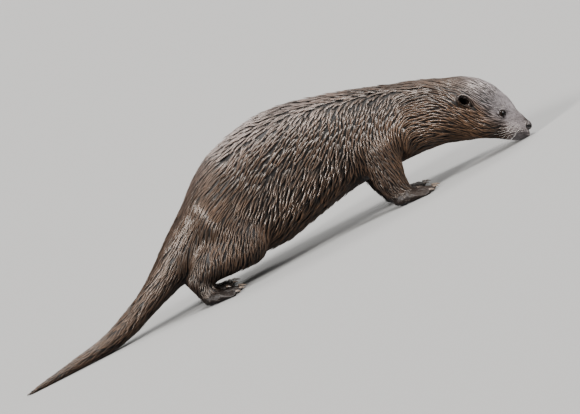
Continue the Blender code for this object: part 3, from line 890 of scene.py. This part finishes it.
def lay_strands(skin):
    """All the coat's strands: their paths, widths and rolls, their roots and their chances."""
    chance = np.random.default_rng(SEED)
    corners, weights = lock_roots(skin, chance)
    fur = {name: mix(values, corners, weights) for name, values in skin.fur.items()}
    start = mix(skin.places, corners, weights)
    count = len(start)
    patches = value_noise(start, 26 * MM, 3) - 0.5
    fine = value_noise(start, 7 * MM, 5) - 0.5
    turn = np.radians(26.0) * patches + np.radians(16.0) * fine * fur["gather"]
    turn += np.radians(5.0) * chance.standard_normal(count)
    length = fur["length"] * chance.uniform(0.8, 1.15, count)
    path, normal, direction = follow_skin(skin, start, length, turn)
    strands = np.round(fur["strands"] + chance.uniform(-0.5, 0.5, count)).astype(int)
    strands = strands.clip(1, MOST_STRANDS)

    # From here each row is one strand, and lock is the number of its lock.
    lock = np.repeat(np.arange(count), strands)
    first = np.concatenate(([0], np.cumsum(strands)[:-1]))
    number = np.arange(len(lock)) - first[lock]
    spread = (number + 0.5 + chance.uniform(-0.35, 0.35, len(lock))) / strands[lock] * 2 - 1
    step = np.arange(PATH_STEPS + 1)[None, :] / PATH_STEPS
    gather = fur["gather"][lock][:, None]
    spacing = fur["spacing"][lock]
    sideways = np.cross(normal, direction)[lock]
    across = spread[:, None] * LOCK_SPREAD * spacing[:, None] * (1 - gather * step ** 0.85)
    lag = chance.uniform(-0.5, 0.5, len(lock)) * spacing * fur["stretch"][lock] * LOCK_LAG
    lag = lag[:, None] * (1 - 0.6 * gather * step)
    rise = (fur["depth"] * chance.uniform(0.40, 1.0, count))[lock][:, None]
    height = rise * step ** 0.9 * 0.85 - ROOT_DEPTH * (step == 0)
    stray = (fur["stray"] * chance.uniform(0.0, 1.0, count))[lock][:, None]
    height = height + stray * step ** 1.8
    arch = LOCK_ARCH * spacing[:, None] * gather * (1 - spread[:, None] ** 2)
    height = height + arch * np.sin(np.pi * step) ** 0.7 * (step > 0)
    places = (path[lock] + sideways * across[..., None]
              + direction[lock] * lag[..., None] + normal[lock] * height[..., None])
    places[..., 2] = np.maximum(places[..., 2], STRAND_CLEARANCE)
    return {
        "places": places,
        "normal": normal[lock],
        "roll": spread * LOCK_ROLL * gather[:, 0] + chance.uniform(-0.1, 0.1, len(lock)),
        "width": fur["width"][lock] * chance.uniform(0.8, 1.2, len(lock)),
        "root": corners[lock][:, 0],
        "owner": skin.owners[corners[:, 0]][lock],
        "side": (start[:, 1] > 0)[lock],
        "chance": chance.uniform(0, 1, count)[lock],
        "own_chance": chance.uniform(0, 1, len(lock)),
    }


def resampled(places, steps):
    """The same paths with this many lengths."""
    marks = np.linspace(0, places.shape[1] - 1, steps + 1)
    low = np.floor(marks).astype(int).clip(0, places.shape[1] - 2)
    share = (marks - low)[None, :, None]
    return places[:, low] * (1 - share) + places[:, low + 1] * share


def blade_points(strands, chosen, rings):
    """The corners of each chosen strand: its rings of three, then its tip."""
    places = resampled(strands["places"][chosen], rings)
    normal = resampled(strands["normal"][chosen], rings)
    roll = strands["roll"][chosen][:, None, None]
    tangent = unit(np.gradient(places, axis=1))
    up = flatten(normal, tangent)
    side = np.cross(up, tangent)
    turned_up = up * np.cos(roll) + side * np.sin(roll)
    turned_side = side * np.cos(roll) - up * np.sin(roll)
    taper = np.interp(np.arange(rings) / rings, *STRAND_TAPER)
    wide = strands["width"][chosen][:, None] * taper[None, :]
    half = turned_side[:, :rings] * (wide / 2)[..., None]
    crest = turned_up[:, :rings] * (wide * STRAND_THICKNESS)[..., None]
    middle = places[:, :rings]
    ring_points = np.stack((middle - half, middle + crest, middle + half), axis=2)
    points = np.concatenate(
        (ring_points.reshape(len(places), rings * 3, 3), places[:, rings:]), axis=1)
    points[..., 2] = np.maximum(points[..., 2], BLADE_CLEARANCE)
    return points


def blade_faces(rings):
    """One blade's four-sided and three-sided faces, and every face corner's place in its patch."""
    quads = []
    tips = []
    quad_map = []
    tip_map = []
    for ring in range(rings):
        low, high = ring / rings, (ring + 1) / rings
        for edge in range(3):
            here, beside = ring * 3 + edge, ring * 3 + (edge + 1) % 3
            left, right = edge / 3, (edge + 1) / 3
            if ring < rings - 1:
                quads.append((here, beside, beside + 3, here + 3))
                quad_map += [(left, low), (right, low), (right, high), (left, high)]
            else:
                tips.append((here, beside, rings * 3))
                tip_map += [(left, low), (right, low), ((left + right) / 2, high)]
    return quads, tips, np.array(quad_map + tip_map)


def strand_mesh(name, strands, chosen, skin, root_map, rings):
    """One coat piece: each chosen strand as a closed three-sided blade that runs to a point."""
    points = blade_points(strands, chosen, rings)
    count, per_strand, _ = points.shape
    quads, tips, pattern = blade_faces(rings)
    first = (np.arange(count) * per_strand)[:, None]
    loops = (first + np.array(sum(quads + tips, ()))[None]).ravel()
    sizes = np.tile([4] * len(quads) + [3] * len(tips), count)
    starts = np.concatenate(([0], np.cumsum(sizes)[:-1]))

    mesh = bpy.data.meshes.new(name)
    mesh.vertices.add(count * per_strand)
    mesh.vertices.foreach_set("co", points.astype(np.float32).ravel())
    mesh.loops.add(len(loops))
    mesh.loops.foreach_set("vertex_index", loops.astype(np.int32))
    mesh.polygons.add(len(sizes))
    mesh.polygons.foreach_set("loop_start", starts.astype(np.int32))
    mesh.polygons.foreach_set("use_smooth", np.ones(len(sizes), bool))
    mesh.update(calc_edges=True)
    mark_blade_edges(mesh, per_strand)

    patches = root_map[:, None, :] + (pattern[None] - 0.5) * PATCH
    uv = mesh.uv_layers.new(name="OFBake")
    uv.data.foreach_set("uv", patches.astype(np.float32).ravel())

    step = np.append(np.repeat(np.arange(rings) / rings, 3), 1.0)
    add_value(mesh, "along", np.tile(step, count))
    for field in ("chance", "own_chance"):
        add_value(mesh, field, np.repeat(strands[field][chosen], per_strand))
    for field, values in skin.marks.items():
        add_value(mesh, field, np.repeat(values[strands["root"][chosen]], per_strand))
    return new_object(name, mesh)


def mark_blade_edges(mesh, per_strand):
    """The blades' two long edges are sharp, so that a lock's strands shine as one."""
    ends = read(mesh.edges, "vertices", 2) % per_strand
    low, high = ends.min(axis=1), ends.max(axis=1)
    along = (high - low == 3) | (high == per_strand - 1)
    attribute = mesh.attributes.new("sharp_edge", "BOOLEAN", "EDGE")
    attribute.data.foreach_set("value", along & (low % 3 != 1))


def add_value(mesh, name, values):
    attribute = mesh.attributes.new(name, "FLOAT", "POINT")
    attribute.data.foreach_set("value", np.asarray(values, np.float32))


def piece_map(skin, roots, leg=None):
    """Where the strands' patches lie in a piece's map, which they fill: by the distance along the
    body and the turn round it, or, for a leg, by height and the turn round its upright line."""
    if leg is None:
        measures = (skin.along, np.abs(skin.round))
    else:
        axis = centre_of(leg)
        x, y, z = skin.places.T
        measures = (z, np.arctan2(y - axis.y, x - axis.x))
    measures = np.stack(measures, axis=1)[roots]
    low, high = measures.min(axis=0), measures.max(axis=0)
    return MAP_MARGIN + (measures - low) / (high - low) * (1 - 2 * MAP_MARGIN)


def make_coat(skin):
    """The coat in pieces, one for each side of each region."""
    strands = lay_strands(skin)
    regions = [region_of(node) for node in FLESH]
    for name, members in COAT_PIECES.items():
        finish = coat_finish("hair_" + name, *SHINE[name])
        belongs = np.array([region in members for region in regions])
        for side, is_left in (("left", True), ("right", False)):
            chosen = np.flatnonzero(belongs[strands["owner"]] & (strands["side"] == is_left))
            leg = members[0] + side if name.endswith("leg") else None
            root_map = piece_map(skin, strands["root"][chosen], leg)
            steps = COAT[members[0]].steps
            piece = strand_mesh(f"coat_{name}_{side}", strands, chosen, skin, root_map, steps)
            piece.data.materials.append(finish)
            triangles = len(chosen) * (6 * (steps - 1) + 3)
            if triangles > COAT_TRIANGLE_LIMIT:
                raise ValueError(f"{piece.name} has {triangles} triangles")
            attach(piece, "root")


# ---------------------------------------------------------------- materials


class Nodes:
    """Short words for a material's node tree."""

    MIX_SHARE, MIX_FIRST, MIX_SECOND, MIX_RESULT = 0, 6, 7, 2   # a Mix node's colour sockets

    def __init__(self, name):
        self.material = bpy.data.materials.new(name)
        self.material.use_nodes = True
        self.tree = self.material.node_tree
        self.shader = self.tree.nodes["Principled BSDF"]

    def feed(self, socket, value):
        """Joins an output to the socket, or sets it to a value or a colour."""
        if isinstance(value, bpy.types.NodeSocket):
            self.tree.links.new(value, socket)
        elif socket.type == "RGBA":
            socket.default_value = (*value, 1.0)
        else:
            socket.default_value = value

    def add(self, kind, output, sockets, **settings):
        """This output of a new node, with its sockets fed."""
        node = self.tree.nodes.new(kind)
        for name, value in settings.items():
            setattr(node, name, value)
        for name, value in sockets.items():
            self.feed(node.inputs[name], value)
        return node.outputs[output]

    def value(self, name):
        """A value that add_value has put on the mesh."""
        return self.add("ShaderNodeAttribute", "Fac", {}, attribute_name=name)

    def places(self):
        return self.add("ShaderNodeTexCoord", "Object", {})

    def scaled_places(self, size):
        """Places counted in this size in metres."""
        sockets = {"Vector": self.places(), "Scale": (1 / size, 1 / size, 1 / size)}
        return self.add("ShaderNodeMapping", "Vector", sockets)

    def noise(self, size, detail=3.0):
        """Noise with features of about this size in metres."""
        sockets = {"Vector": self.scaled_places(size), "Scale": 1.0, "Detail": detail}
        return self.add("ShaderNodeTexNoise", "Fac", sockets)

    def ramp(self, value, low, high, out_low, out_high):
        """The value, carried from one span to another and held at its ends."""
        sockets = {"Value": value, "From Min": low, "From Max": high,
                   "To Min": out_low, "To Max": out_high}
        return self.add("ShaderNodeMapRange", "Result", sockets)

    def math(self, operation, first, second):
        return self.add("ShaderNodeMath", "Value", {0: first, 1: second}, operation=operation)

    def colour_mix(self, share, first, second, way="MIX"):
        sockets = {self.MIX_SHARE: share, self.MIX_FIRST: first, self.MIX_SECOND: second}
        return self.add(
            "ShaderNodeMix", self.MIX_RESULT, sockets, data_type="RGBA", blend_type=way)

    def shade(self, colour, light):
        """A colour made brighter or darker by a value."""
        grey = self.add("ShaderNodeCombineColor", "Color", {0: light, 1: light, 2: light})
        return self.colour_mix(1.0, colour, grey, "MULTIPLY")

    def bump(self, height, strength, distance):
        sockets = {"Height": height, "Strength": strength, "Distance": distance}
        self.feed(self.shader.inputs["Normal"], self.add("ShaderNodeBump", "Normal", sockets))

    def finish(self, colour, **values):
        """The material, with its colour and the shader's sockets, named in small letters."""
        for name, value in {"base_color": colour, **values}.items():
            socket = name.replace("_", " ").title().replace("Ior", "IOR")
            self.feed(self.shader.inputs[socket], value)
        return self.material


def marked_colour(nodes):
    """The coat's markings, the same on skin and hair; the pale, dark and hollow marks also carry
    painted sheen, highlight, shadow and shade.
    """
    colour = BROWN
    for mark, mark_colour in (("warm", WARM_BROWN), ("pale", PALE_AND_SHEEN_GREY),
                              ("dark", DARK_BROWN_AND_SHADOW), ("hollow", HOLLOW_SHADE_BLACK)):
        colour = nodes.colour_mix(nodes.value(mark), colour, mark_colour)
    return nodes.shade(colour, nodes.ramp(nodes.noise(0.035), 0.35, 0.65, 0.75, 1.2))


def coat_finish(name, roughness, water):
    """Hair with its markings; water is the share of a clear wet layer on it."""
    nodes = Nodes(name)
    # Paler towards the tips, partly the hair's own tone, and painted shade at the roots, where the
    # locks overlap; none on the sleek face.
    tip_tone_root_shade = nodes.ramp(nodes.value("along"), 0.22, 0.9, 0.01, 1.55)
    even = nodes.math("MULTIPLY", nodes.value("sleek"), 0.85)
    tip_tone_root_shade = nodes.math("ADD", nodes.math("MULTIPLY", tip_tone_root_shade, nodes.math("SUBTRACT", 1.0, even)), even)
    varied = nodes.ramp(nodes.value("chance"), 0.0, 1.0, 0.7, 1.3)
    own = nodes.ramp(nodes.value("own_chance"), 0.0, 1.0, 0.8, 1.2)
    light = nodes.math("MULTIPLY", nodes.math("MULTIPLY", tip_tone_root_shade, varied), own)
    return nodes.finish(
        nodes.shade(marked_colour(nodes), light), roughness=roughness, specular_ior_level=0.6,
        specular_tint=HAIR_GLINT, coat_weight=water, coat_roughness=0.17)


def skin_finish():
    """The skin, with its markings and almost black where the coat covers it: partly the wet
    underfur's dark colour, partly painted shade in the gaps between the locks.
    """
    nodes = Nodes("skin")
    rough = nodes.math("SUBTRACT", 1.0, nodes.value("sleek"))
    covered = nodes.math("MULTIPLY", nodes.value("furred"), rough)
    # Painted shade where the coat covers the skin, over the underfur's own dark colour; less on the
    # sleek face.
    colour = nodes.shade(marked_colour(nodes), nodes.ramp(covered, 0.0, 1.0, 1.0, 0.05))
    nodes.bump(nodes.noise(0.0012, 4.0), 0.5, 0.4 * MM)
    return nodes.finish(colour, roughness=0.5, specular_ior_level=0.35)


def speckled_finish(name, size, first, second, **values):
    """Two colours in noise of this size."""
    nodes = Nodes(name)
    return nodes.finish(nodes.colour_mix(nodes.noise(size), first, second), **values)


def hollow_shade_finish():
    """The ear's inside: bare and matt, painted almost black as the shade of its opening."""
    return speckled_finish("ear_hollow_shade", 0.002, (0.0010, 0.0008, 0.0007), (0.0045, 0.003, 0.0025),
                           roughness=0.9, specular_ior_level=0.06)


def claw_finish():
    return speckled_finish("horn", 0.002, (0.09, 0.065, 0.05), (0.2, 0.155, 0.12),
                           roughness=0.3, coat_weight=0.3, coat_roughness=0.15)


def whisker_finish():
    return speckled_finish("whisker", 0.004, (0.42, 0.39, 0.36), (0.60, 0.57, 0.53),
                           roughness=0.35)


def set_hollow_faces(skin, finish):
    """Gives the skin's faces inside the ears their own finish, with painted shade."""
    mesh = skin.thing.data
    mesh.materials.append(finish)
    corners = read(mesh.loops, "vertex_index").ravel()
    starts = read(mesh.polygons, "loop_start").ravel()
    inside = np.minimum.reduceat(skin.marks["hollow"][corners], starts) > HOLLOW_EDGE
    mesh.polygons.foreach_set("material_index", inside.astype(np.int32))


def nose_finish():
    """Dark leather in small cells, with painted shade, near black, inside the nostrils."""
    nodes = Nodes("nose_leather")
    cells = nodes.add("ShaderNodeTexVoronoi", "Distance", {"Vector": nodes.scaled_places(1.1 * MM)},
                      feature="DISTANCE_TO_EDGE")
    colour = nodes.colour_mix(nodes.ramp(cells, 0.0, 0.3, 0.0, 1.0),
                              (0.028, 0.023, 0.022), (0.082, 0.069, 0.067))
    # Painted shade: near black inside the nostrils.
    colour = nodes.colour_mix(nodes.value("hole"), colour, (0.0005, 0.0005, 0.0005))
    nodes.bump(cells, 0.6, 0.3 * MM)
    return nodes.finish(colour, roughness=0.42, coat_weight=0.15, coat_roughness=0.25)


def eye_finish():
    """Pupil, iris and rim, by the distance from the eyeball's own Z axis."""
    nodes = Nodes("eye_wet")
    flat = nodes.add("ShaderNodeVectorMath", "Vector", {0: nodes.places(), 1: (1.0, 1.0, 0.0)},
                     operation="MULTIPLY")
    off_axis = nodes.add("ShaderNodeVectorMath", "Value", {0: flat}, operation="LENGTH")
    iris = nodes.ramp(off_axis, 2.4 * MM, 2.9 * MM, 0.0, 1.0)
    rim = nodes.ramp(off_axis, 4.2 * MM, 4.8 * MM, 0.0, 1.0)
    brown = nodes.colour_mix(nodes.noise(0.0006), (0.003, 0.0018, 0.0012), (0.009, 0.005, 0.003))
    colour = nodes.colour_mix(iris, (0.002, 0.002, 0.002), brown)
    colour = nodes.colour_mix(rim, colour, (0.008, 0.005, 0.004))
    return nodes.finish(colour, roughness=0.06, specular_ior_level=0.2)


# ---------------------------------------------------------------- markings


def pale_face_and_sheen(skin):
    """How far the forehead, the muzzle and the chin are pale: partly their own grey, partly painted
    sheen, and painted light on the shaded chin.
    """
    forward, _, up = skin.face.measures(skin.places)
    on_head = smoothstep(0.16, 0.11, skin.along)
    lowered = 8.0 * smoothstep(-18.0, -8.0, forward) + 16.0 * smoothstep(4.0, 38.0, forward)
    # Painted sheen on the forehead and the muzzle, over their own paler grey.
    brow = smoothstep(-80.0, -10.0, forward) * on_head * smoothstep(-13.0, 9.0, up + lowered)
    # Painted light on the chin, which lies in shade, over its own paler hair.
    chin = smoothstep(24.0, 36.0, forward) * smoothstep(-8.0, -18.0, up) * on_head
    return np.maximum(brow * (1 - 0.28 * smoothstep(6.0, 34.0, forward)), 0.9 * chin)


def warm_parts(skin, on_limb, tail_root):
    """How far the throat, the underside, the thighs and the tail's root are warm brown."""
    turn, length = np.abs(skin.round), skin.along
    throat = smoothstep(0.9, 1.7, turn) * band(length, 0.0, 0.05, 0.17, 0.25)
    under = smoothstep(1.9, 2.6, turn) * smoothstep(0.62, 0.52, length) * (1 - 0.75 * on_limb)
    thigh = np.zeros(len(skin.places))
    for side, _ in SIDES:
        away = away_from(in_box("leg_hind_" + side, (0.55, 0.5, 0.5)), skin.places)
        thigh = np.maximum(thigh, smoothstep(0.055, 0.01, away))
    warm = np.clip(0.18 + 0.80 * throat + 0.45 * under + 0.35 * thigh + 0.25 * tail_root, 0, 1)
    return warm * (1 - 0.6 * on_limb * smoothstep(60 * MM, 30 * MM, skin.places[:, 2]))


def dark_parts(skin, on_limb, feet, tail_root):
    """How far the tail, the feet, the nape, the shanks, the lids and the nose's edge are dark."""
    turn, length = np.abs(skin.round), skin.along
    tail_tip = smoothstep(skin.reach - 0.22, skin.reach - 0.02, length)
    nape = smoothstep(1.6, 0.8, turn) * band(length, 0.12, 0.155, 0.22, 0.27)
    shank = on_limb * smoothstep(75 * MM, 25 * MM, skin.places[:, 2])
    from_nose = away_from(centre_of("nose"), skin.places)
    dark = 0.45 * tail_tip + 0.5 * tail_root + 0.55 * feet + 0.4 * nape + 0.35 * shank
    dark += 0.95 * skin.rim + 0.6 * smoothstep(15 * MM, 8 * MM, from_nose)
    return np.clip(dark, 0, 1)


def mark_ears(skin, pale, dark):
    """Adds each ear's painted highlight along its rim, a painted shadow behind it and painted
    shade, near black, in its opening, and gives the opening as well.
    """
    hollow = np.zeros(len(skin.places))
    for ear in skin.ears:
        far, turn = ear.measures(skin.places)
        crest = np.cos(turn - EAR_CREST)
        hollow = np.maximum(hollow, smoothstep(0.96, 0.76, far))
        # Painted highlight along the rim, strongest at its crest.
        pale = np.maximum(pale, 0.6 * hump(far, 1.12, 0.2) * np.clip(0.2 + crest, 0, 1))
        # Painted shadow behind the ear.
        dark = np.maximum(dark, 0.75 * hump(far, 1.35, 0.35) * np.clip(-crest, 0, 1))
    # Painted shade: the ears' openings are near black.
    dark = np.maximum(dark, hollow)
    return pale * (1 - dark), dark, hollow


def set_marks(skin):
    """Where the coat is warm, pale or dark, partly with painted sheen, highlight, shadow and shade,
    and where the skin is bare.
    """
    feet = part_of(skin.owners, "foot")
    limbs = part_of(skin.owners, "leg", "foot")
    on_limb = blend_field(limbs[:, None], skin.links, LIMB_SPREAD)[:, 0]
    tail_root = band(skin.along, 0.50, 0.58, 0.66, 0.76)
    warm = warm_parts(skin, on_limb, tail_root)
    dark = dark_parts(skin, on_limb, feet, tail_root)
    face = pale_face_and_sheen(skin)
    # Painted sheen along the back's top, strongest behind the shoulders, added to the face's pale
    # share.
    shoulder_sheen = band(skin.along, 0.20, 0.34, 0.34, 0.60)
    on_back = smoothstep(1.0, 0.2, np.abs(skin.round))
    pale = np.clip((0.02 + 0.20 * shoulder_sheen) * on_back + 0.92 * face, 0, 1)
    pale, dark, hollow = mark_ears(skin, pale, dark)
    forward, _, _ = skin.face.measures(skin.places)
    sleek = smoothstep(-30.0, -2.0, forward) * face * (1 - dark)
    skin.marks = {"warm": warm, "pale": pale, "dark": dark, "sleek": sleek, "hollow": hollow}
    soles = smoothstep(2.0 * MM, 1.2 * MM, skin.places[:, 2]) * feet
    skin.bare = np.maximum.reduce(
        (smoothstep(0.5, 0.9, skin.rim), smoothstep(0.05, 0.3, skin.pad), soles, hollow))
    covered = blend_field((1 - skin.bare)[:, None], skin.links, 3)[:, 0]
    for name, values in {**skin.marks, "furred": covered * (1 - feet)}.items():
        add_value(skin.thing.data, name, values)


# ---------------------------------------------------------------- eyes, nose, whiskers, claws


def make_eye(face, side, sign, finish):
    """A ball with a cornea that stands a little proud, its axis along local Z."""
    radius = face.eye_radius - EYE_GAP
    bm = bmesh.new()
    bmesh.ops.create_uvsphere(bm, u_segments=40, v_segments=32, radius=radius)
    for vertex in bm.verts:
        off_axis = math.hypot(vertex.co.x, vertex.co.y)
        if vertex.co.z > 0:
            vertex.co.z += CORNEA * math.exp(-(off_axis / (0.45 * radius)) ** 2)
    mesh = mesh_from(bm, "eyeball_" + side)
    mesh.shade_smooth()
    eye = new_object("eyeball_" + side, mesh)
    aim(eye, face.eye_axis(sign))
    eye.location = face.eyes[side]
    mesh.materials.append(finish)
    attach(eye, "root")
    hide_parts("eye_" + side)


def oval(across, middle_across, half_width, high, middle_high, half_height):
    """1 inside an oval, falling off at its edge."""
    far = ((across - middle_across) / half_width) ** 2 + ((high - middle_high) / half_height) ** 2
    return hump(far, 0.0, 1.0)


def make_nose(frame, face, finish):
    """The nose pad, with two comma-shaped nostrils and the groove between them."""
    nose = new_object("nose_pad", joined_nodes(frame, ("nose",)))
    mesh = voxel_remesh(nose, NOSE_VOXEL)
    places = smooth_places(vertex_places(mesh), mesh_links(mesh), NOSE_SMOOTHING, 1.0)
    set_places(mesh, places)
    normals = vertex_normals(mesh)
    ahead, side, high = face.from_nose(places)
    wide = np.abs(side)
    front = smoothstep(-5.0, -1.5, ahead)
    nostril = oval(wide, 6.6, 2.3, high, 0.6, 2.1)
    slit = oval(wide, 10.0, 3.4, high + 0.25 * (wide - 10.0), -0.2, 2.7)
    hole = np.clip((nostril + 0.9 * slit) * front, 0, 1)
    groove = hump(side, 0.0, 0.8) * smoothstep(1.5, -1.5, high) * front
    rim = oval(wide, 6.4, 3.6, high, 0.0, 3.3) * front
    buried = 1 - pad_share(face, places)
    shift = 0.6 * rim - 3.0 * hole - 0.8 * groove - 1.4 * buried - 0.2
    places = places + normals * (shift * MM)[:, None]
    set_places(mesh, places)
    mesh.shade_smooth()
    # The hole mark also paints shade, near black, inside the nostrils.
    add_value(mesh, "hole", hole)
    mesh.materials.append(finish)
    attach(nose, "root")
    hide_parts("nose")


def whisker_roots():
    """Where the whiskers of one side stand, forward and up from between the eyes in millimetres,
    and how long they are beside the longest: on the lip, on the chin and over the eye."""
    lip = [(36.0 - 6.0 * place - 1.6 * row, -9.0 - 4.2 * row, 1.0)
           for row in range(3) for place in range(3)]
    chin = [(30.0 - 5.0 * place, -27.0, 0.45) for place in range(3)]
    over_eye = [(-2.0 + 2.0 * place, 11.0, 0.45) for place in range(2)]
    return lip + chin + over_eye


def add_whisker(bm, face, root, out, length, radius):
    """One thin tapered tube that starts outward and bends back and down."""
    bend = (-0.80 * face.forward - 0.30 * face.up) * 0.55
    rings = []
    for step in range(WHISKER_STEPS + 1):
        t = step / WHISKER_STEPS
        centre = root + out * length * t + bend * length * t * t
        centre[2] = max(centre[2], WHISKER_CLEARANCE)
        turn = Vector(unit(out + 2 * bend * t)).to_track_quat("Z", "Y")
        thick = radius * (1 - t) ** 0.7 + WHISKER_TIP
        ring = []
        for k in range(WHISKER_SIDES):
            angle = 2 * math.pi * k / WHISKER_SIDES
            edge = Vector((thick * math.cos(angle), thick * math.sin(angle), 0.0))
            ring.append(bm.verts.new(Vector(centre) + turn @ edge))
        rings.append(ring)
    for low, high in zip(rings, rings[1:]):
        for k in range(WHISKER_SIDES):
            beside = (k + 1) % WHISKER_SIDES
            bm.faces.new((low[k], low[beside], high[beside], high[k]))
    bm.faces.new(rings[0][::-1])
    bm.faces.new(rings[-1])


def make_whiskers(skin, finish):
    """Stiff pale hairs on the muzzle and chin, and a few over the eyes."""
    face = skin.face
    chance = np.random.default_rng(SEED + 1)
    _, tree = skin_faces(skin)
    bm = bmesh.new()
    for _, sign in SIDES:
        for forward, up, share in whisker_roots():
            beside = face.place(forward + chance.uniform(-0.6, 0.6), 60.0 * sign,
                                up + chance.uniform(-0.5, 0.5))
            root, normal, _, _ = tree.ray_cast(Vector(beside), Vector((0.0, -sign, 0.0)))
            if root is None:
                continue
            length = 24.0 + 26.0 * chance.uniform(0.4, 1.0) * (50.0 - forward) / 34.0
            length = length * share * MM
            out = np.array(normal) * 0.5 + np.array((0.0, sign * 0.45, 0.0))
            out = unit(out - face.forward * 0.25 - face.up * 0.30)
            radius = WHISKER_RADIUS * (0.6 + 0.4 * share)
            add_whisker(bm, face, np.array(root), out, length, radius)
    mesh = mesh_from(bm, "whiskers")
    mesh.shade_smooth()
    whiskers = new_object("whiskers", mesh)
    mesh.materials.append(finish)
    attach(whiskers, "root")


def finish_claws(frame, finish):
    for node, claw in frame["nodes"].items():
        if node.startswith("claw"):
            claw.data.materials.clear()
            claw.data.materials.append(finish)


# ---------------------------------------------------------------- studio


def make_studio():
    bm = bmesh.new()
    bmesh.ops.create_circle(bm, cap_ends=True, segments=96, radius=FLOOR_RADIUS)
    mesh = mesh_from(bm, "floor")
    floor = new_object("floor", mesh)
    mesh.materials.append(Nodes("floor_paint").finish(FLOOR_GREY, roughness=0.9))
    floor.visible_glossy = False
    floor.visible_diffuse = False
    floor.visible_shadow = False
    world = bpy.data.worlds.new("studio")
    bpy.context.scene.world = world
    world.use_nodes = True
    background = world.node_tree.nodes["Background"]
    background.inputs["Color"].default_value = SKY_COLOUR
    background.inputs["Strength"].default_value = SKY_STRENGTH
    for name, settings in LAMPS.items():
        add_light(name, *settings)


def add_light(name, place, strength, width, colour):
    """A far, soft light of this width in degrees, from the direction of a place."""
    light = bpy.data.lights.new(name, "SUN")
    light.energy = strength
    light.color = colour
    light.angle = math.radians(width)
    lamp = new_object(name, light)
    lamp.location = place
    aim(lamp, place)


def make_camera():
    back = Vector((0.0, -math.cos(CAMERA_ELEVATION), math.sin(CAMERA_ELEVATION)))
    level = Vector((1.0, 0.0, 0.0))
    upright = back.cross(level)
    right = level * math.cos(CAMERA_ROLL) - upright * math.sin(CAMERA_ROLL)
    up = level * math.sin(CAMERA_ROLL) + upright * math.cos(CAMERA_ROLL)
    data = bpy.data.cameras.new("camera")
    data.sensor_width = SENSOR
    data.lens = SENSOR * CAMERA_DISTANCE / VIEW_WIDTH
    camera = new_object("camera", data)
    place = CAMERA_AIM + back * CAMERA_DISTANCE
    turned = Matrix((right, up, back)).transposed().to_4x4()
    camera.matrix_world = Matrix.Translation(place) @ turned
    bpy.context.scene.camera = camera


def main():
    for thing in list(bpy.data.objects):
        bpy.data.objects.remove(thing)
    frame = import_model()
    face = Face()
    make_camera()
    make_studio()
    skin = Skin(frame, face)
    set_marks(skin)
    skin.thing.data.shade_smooth()
    skin.thing.data.materials.append(skin_finish())
    set_hollow_faces(skin, hollow_shade_finish())
    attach(skin.thing, "root")
    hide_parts(*FLESH)
    make_coat(skin)
    eye = eye_finish()
    for side, sign in SIDES:
        make_eye(face, side, sign, eye)
    make_nose(frame, face, nose_finish())
    make_whiskers(skin, whisker_finish())
    finish_claws(frame, claw_finish())


main()
